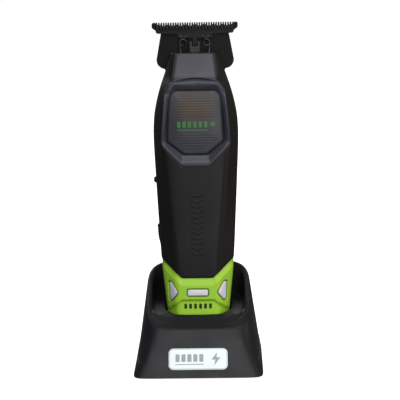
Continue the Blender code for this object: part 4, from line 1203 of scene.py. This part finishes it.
def make_clipper():
    front = make_half("casing_front", -1, "front_housing")
    rear = make_half("casing_rear", 1, "rear_housing")
    wells = []
    for place in ("upper_left", "upper_right", "lower_left", "lower_right"):
        spot = screw_place(f"case_screw_{place}")
        wells.append(rod_tool((spot[0], 5.0, spot[2]), BACKWARDS, 2.15, 20.0))
        make_well(f"screw_well_{place}", spot)
        make_screw(f"casing_screw_{place}", spot, BACKWARDS, 1.9, f"case_screw_{place}")
    carve(rear, wells + side_tools())
    carve(front, side_tools())
    make_neck_plate()
    make_window()
    make_grip_marks()
    make_collar()
    make_slider()
    make_button()
    make_blades()
    make_spring()
    for tag, _ in SIDES:
        node = f"blade_screw_{tag}"
        make_screw(f"plate_screw_{tag}", screw_place(node), BACKWARDS, 2.3, node)


def make_base():
    make_dock()
    make_label()
    for tag, side in SIDES:
        make_contact_spring(tag, side * CONTACT_X)
    for place in ("front_left", "front_right", "rear_left", "rear_right"):
        node = f"dock_screw_{place}"
        low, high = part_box(node)
        spot = ((low.x + high.x) / 2 / MM, (low.y + high.y) / 2 / MM, low.z / MM)
        make_screw(f"base_screw_{place}", spot, (0, 0, -1), 2.3, node, "dock", upright)


def make_floor():
    size = 3000.0
    points = [(-size, -size, 0), (size, -size, 0), (size, size, 0), (-size, size, 0)]
    floor = new_mesh("floor", points, [(0, 1, 2, 3)], upright)
    nodes = Nodes("floor_white")
    nodes.set(Roughness=0.9, Specular_IOR_Level=0.1, Emission_Color=(1, 1, 1, 1), Emission_Strength=0.97)
    stops = [(0.3, (0.5, 0.5, 0.5)), (0.7, (0.52, 0.52, 0.52))]
    nodes.feed(Base_Color=nodes.ramp(nodes.noise(3.0), stops))
    floor.data.materials.append(nodes.material)
    floor.visible_glossy = False
    floor.visible_diffuse = False


def area_light(name, place, target, size, energy, colour=(1, 1, 1)):
    light = bpy.data.lights.new(name, "AREA")
    light.shape = "RECTANGLE"
    light.size, light.size_y = size
    light.energy = energy
    light.color = colour
    made = new_object(name, light)
    made.location = place
    made.rotation_euler = (Vector(target) - Vector(place)).to_track_quat("-Z", "Y").to_euler()


def make_light():
    """A dim surround that the camera sees as white, and four lamps."""
    world = bpy.data.worlds.new("studio")
    bpy.context.scene.world = world
    world.use_nodes = True
    tree = world.node_tree
    dim, seen = tree.nodes["Background"], tree.nodes.new("ShaderNodeBackground")
    for background, strength in ((dim, 0.09), (seen, 1.0)):
        background.inputs["Color"].default_value = (1, 1, 1, 1)
        background.inputs["Strength"].default_value = strength
    mix = tree.nodes.new("ShaderNodeMixShader")
    path = tree.nodes.new("ShaderNodeLightPath")
    tree.links.new(path.outputs["Is Camera Ray"], mix.inputs["Fac"])
    tree.links.new(dim.outputs["Background"], mix.inputs[1])
    tree.links.new(seen.outputs["Background"], mix.inputs[2])
    tree.links.new(mix.outputs["Shader"], tree.nodes["World Output"].inputs["Surface"])
    area_light("key", (0.06, -0.8, 1.0), (0, 0, 0.08), (1.3, 0.9), 16.0)
    area_light("front_fill", (0.3, -1.3, 0.25), (0, 0, 0.09), (0.7, 0.5), 5.5)
    area_light("warm_edge", (0.95, -0.12, 0.3), (0, 0, 0.1), (0.3, 0.6), 3.0, (1.0, 0.80, 0.68))
    area_light("back", (-0.1, 1.0, 0.75), (0, 0, 0.08), (1.3, 0.8), 9.0)


def make_camera():
    """The view from the front, a little above, and turned by a hair."""
    distance, width = 0.75, 0.2
    elevation, azimuth, roll = math.radians(9.0), math.radians(-1.2), math.radians(-0.95)
    target = Vector((0.0016, 0.0, 0.0830))
    level = Vector((-math.sin(azimuth), -math.cos(azimuth), 0.0))
    back = level * math.cos(elevation) + Vector((0.0, 0.0, math.sin(elevation)))
    data = bpy.data.cameras.new("camera")
    camera = new_object("camera", data)
    data.sensor_width = 36.0
    data.lens = data.sensor_width * distance / width
    data.clip_start = 0.01
    camera.location = target + back * distance
    look = (-back).to_track_quat("-Z", "Y").to_matrix()
    camera.rotation_euler = (look @ Matrix.Rotation(roll, 3, "Z")).to_euler()
    bpy.context.scene.camera = camera


make_clipper()
make_base()
finish_nodes()
make_floor()
make_light()
make_camera()
bpy.context.scene.view_settings.view_transform = "Standard"


def corners(box):
    return [list(map(float, corner)) for corner in box]
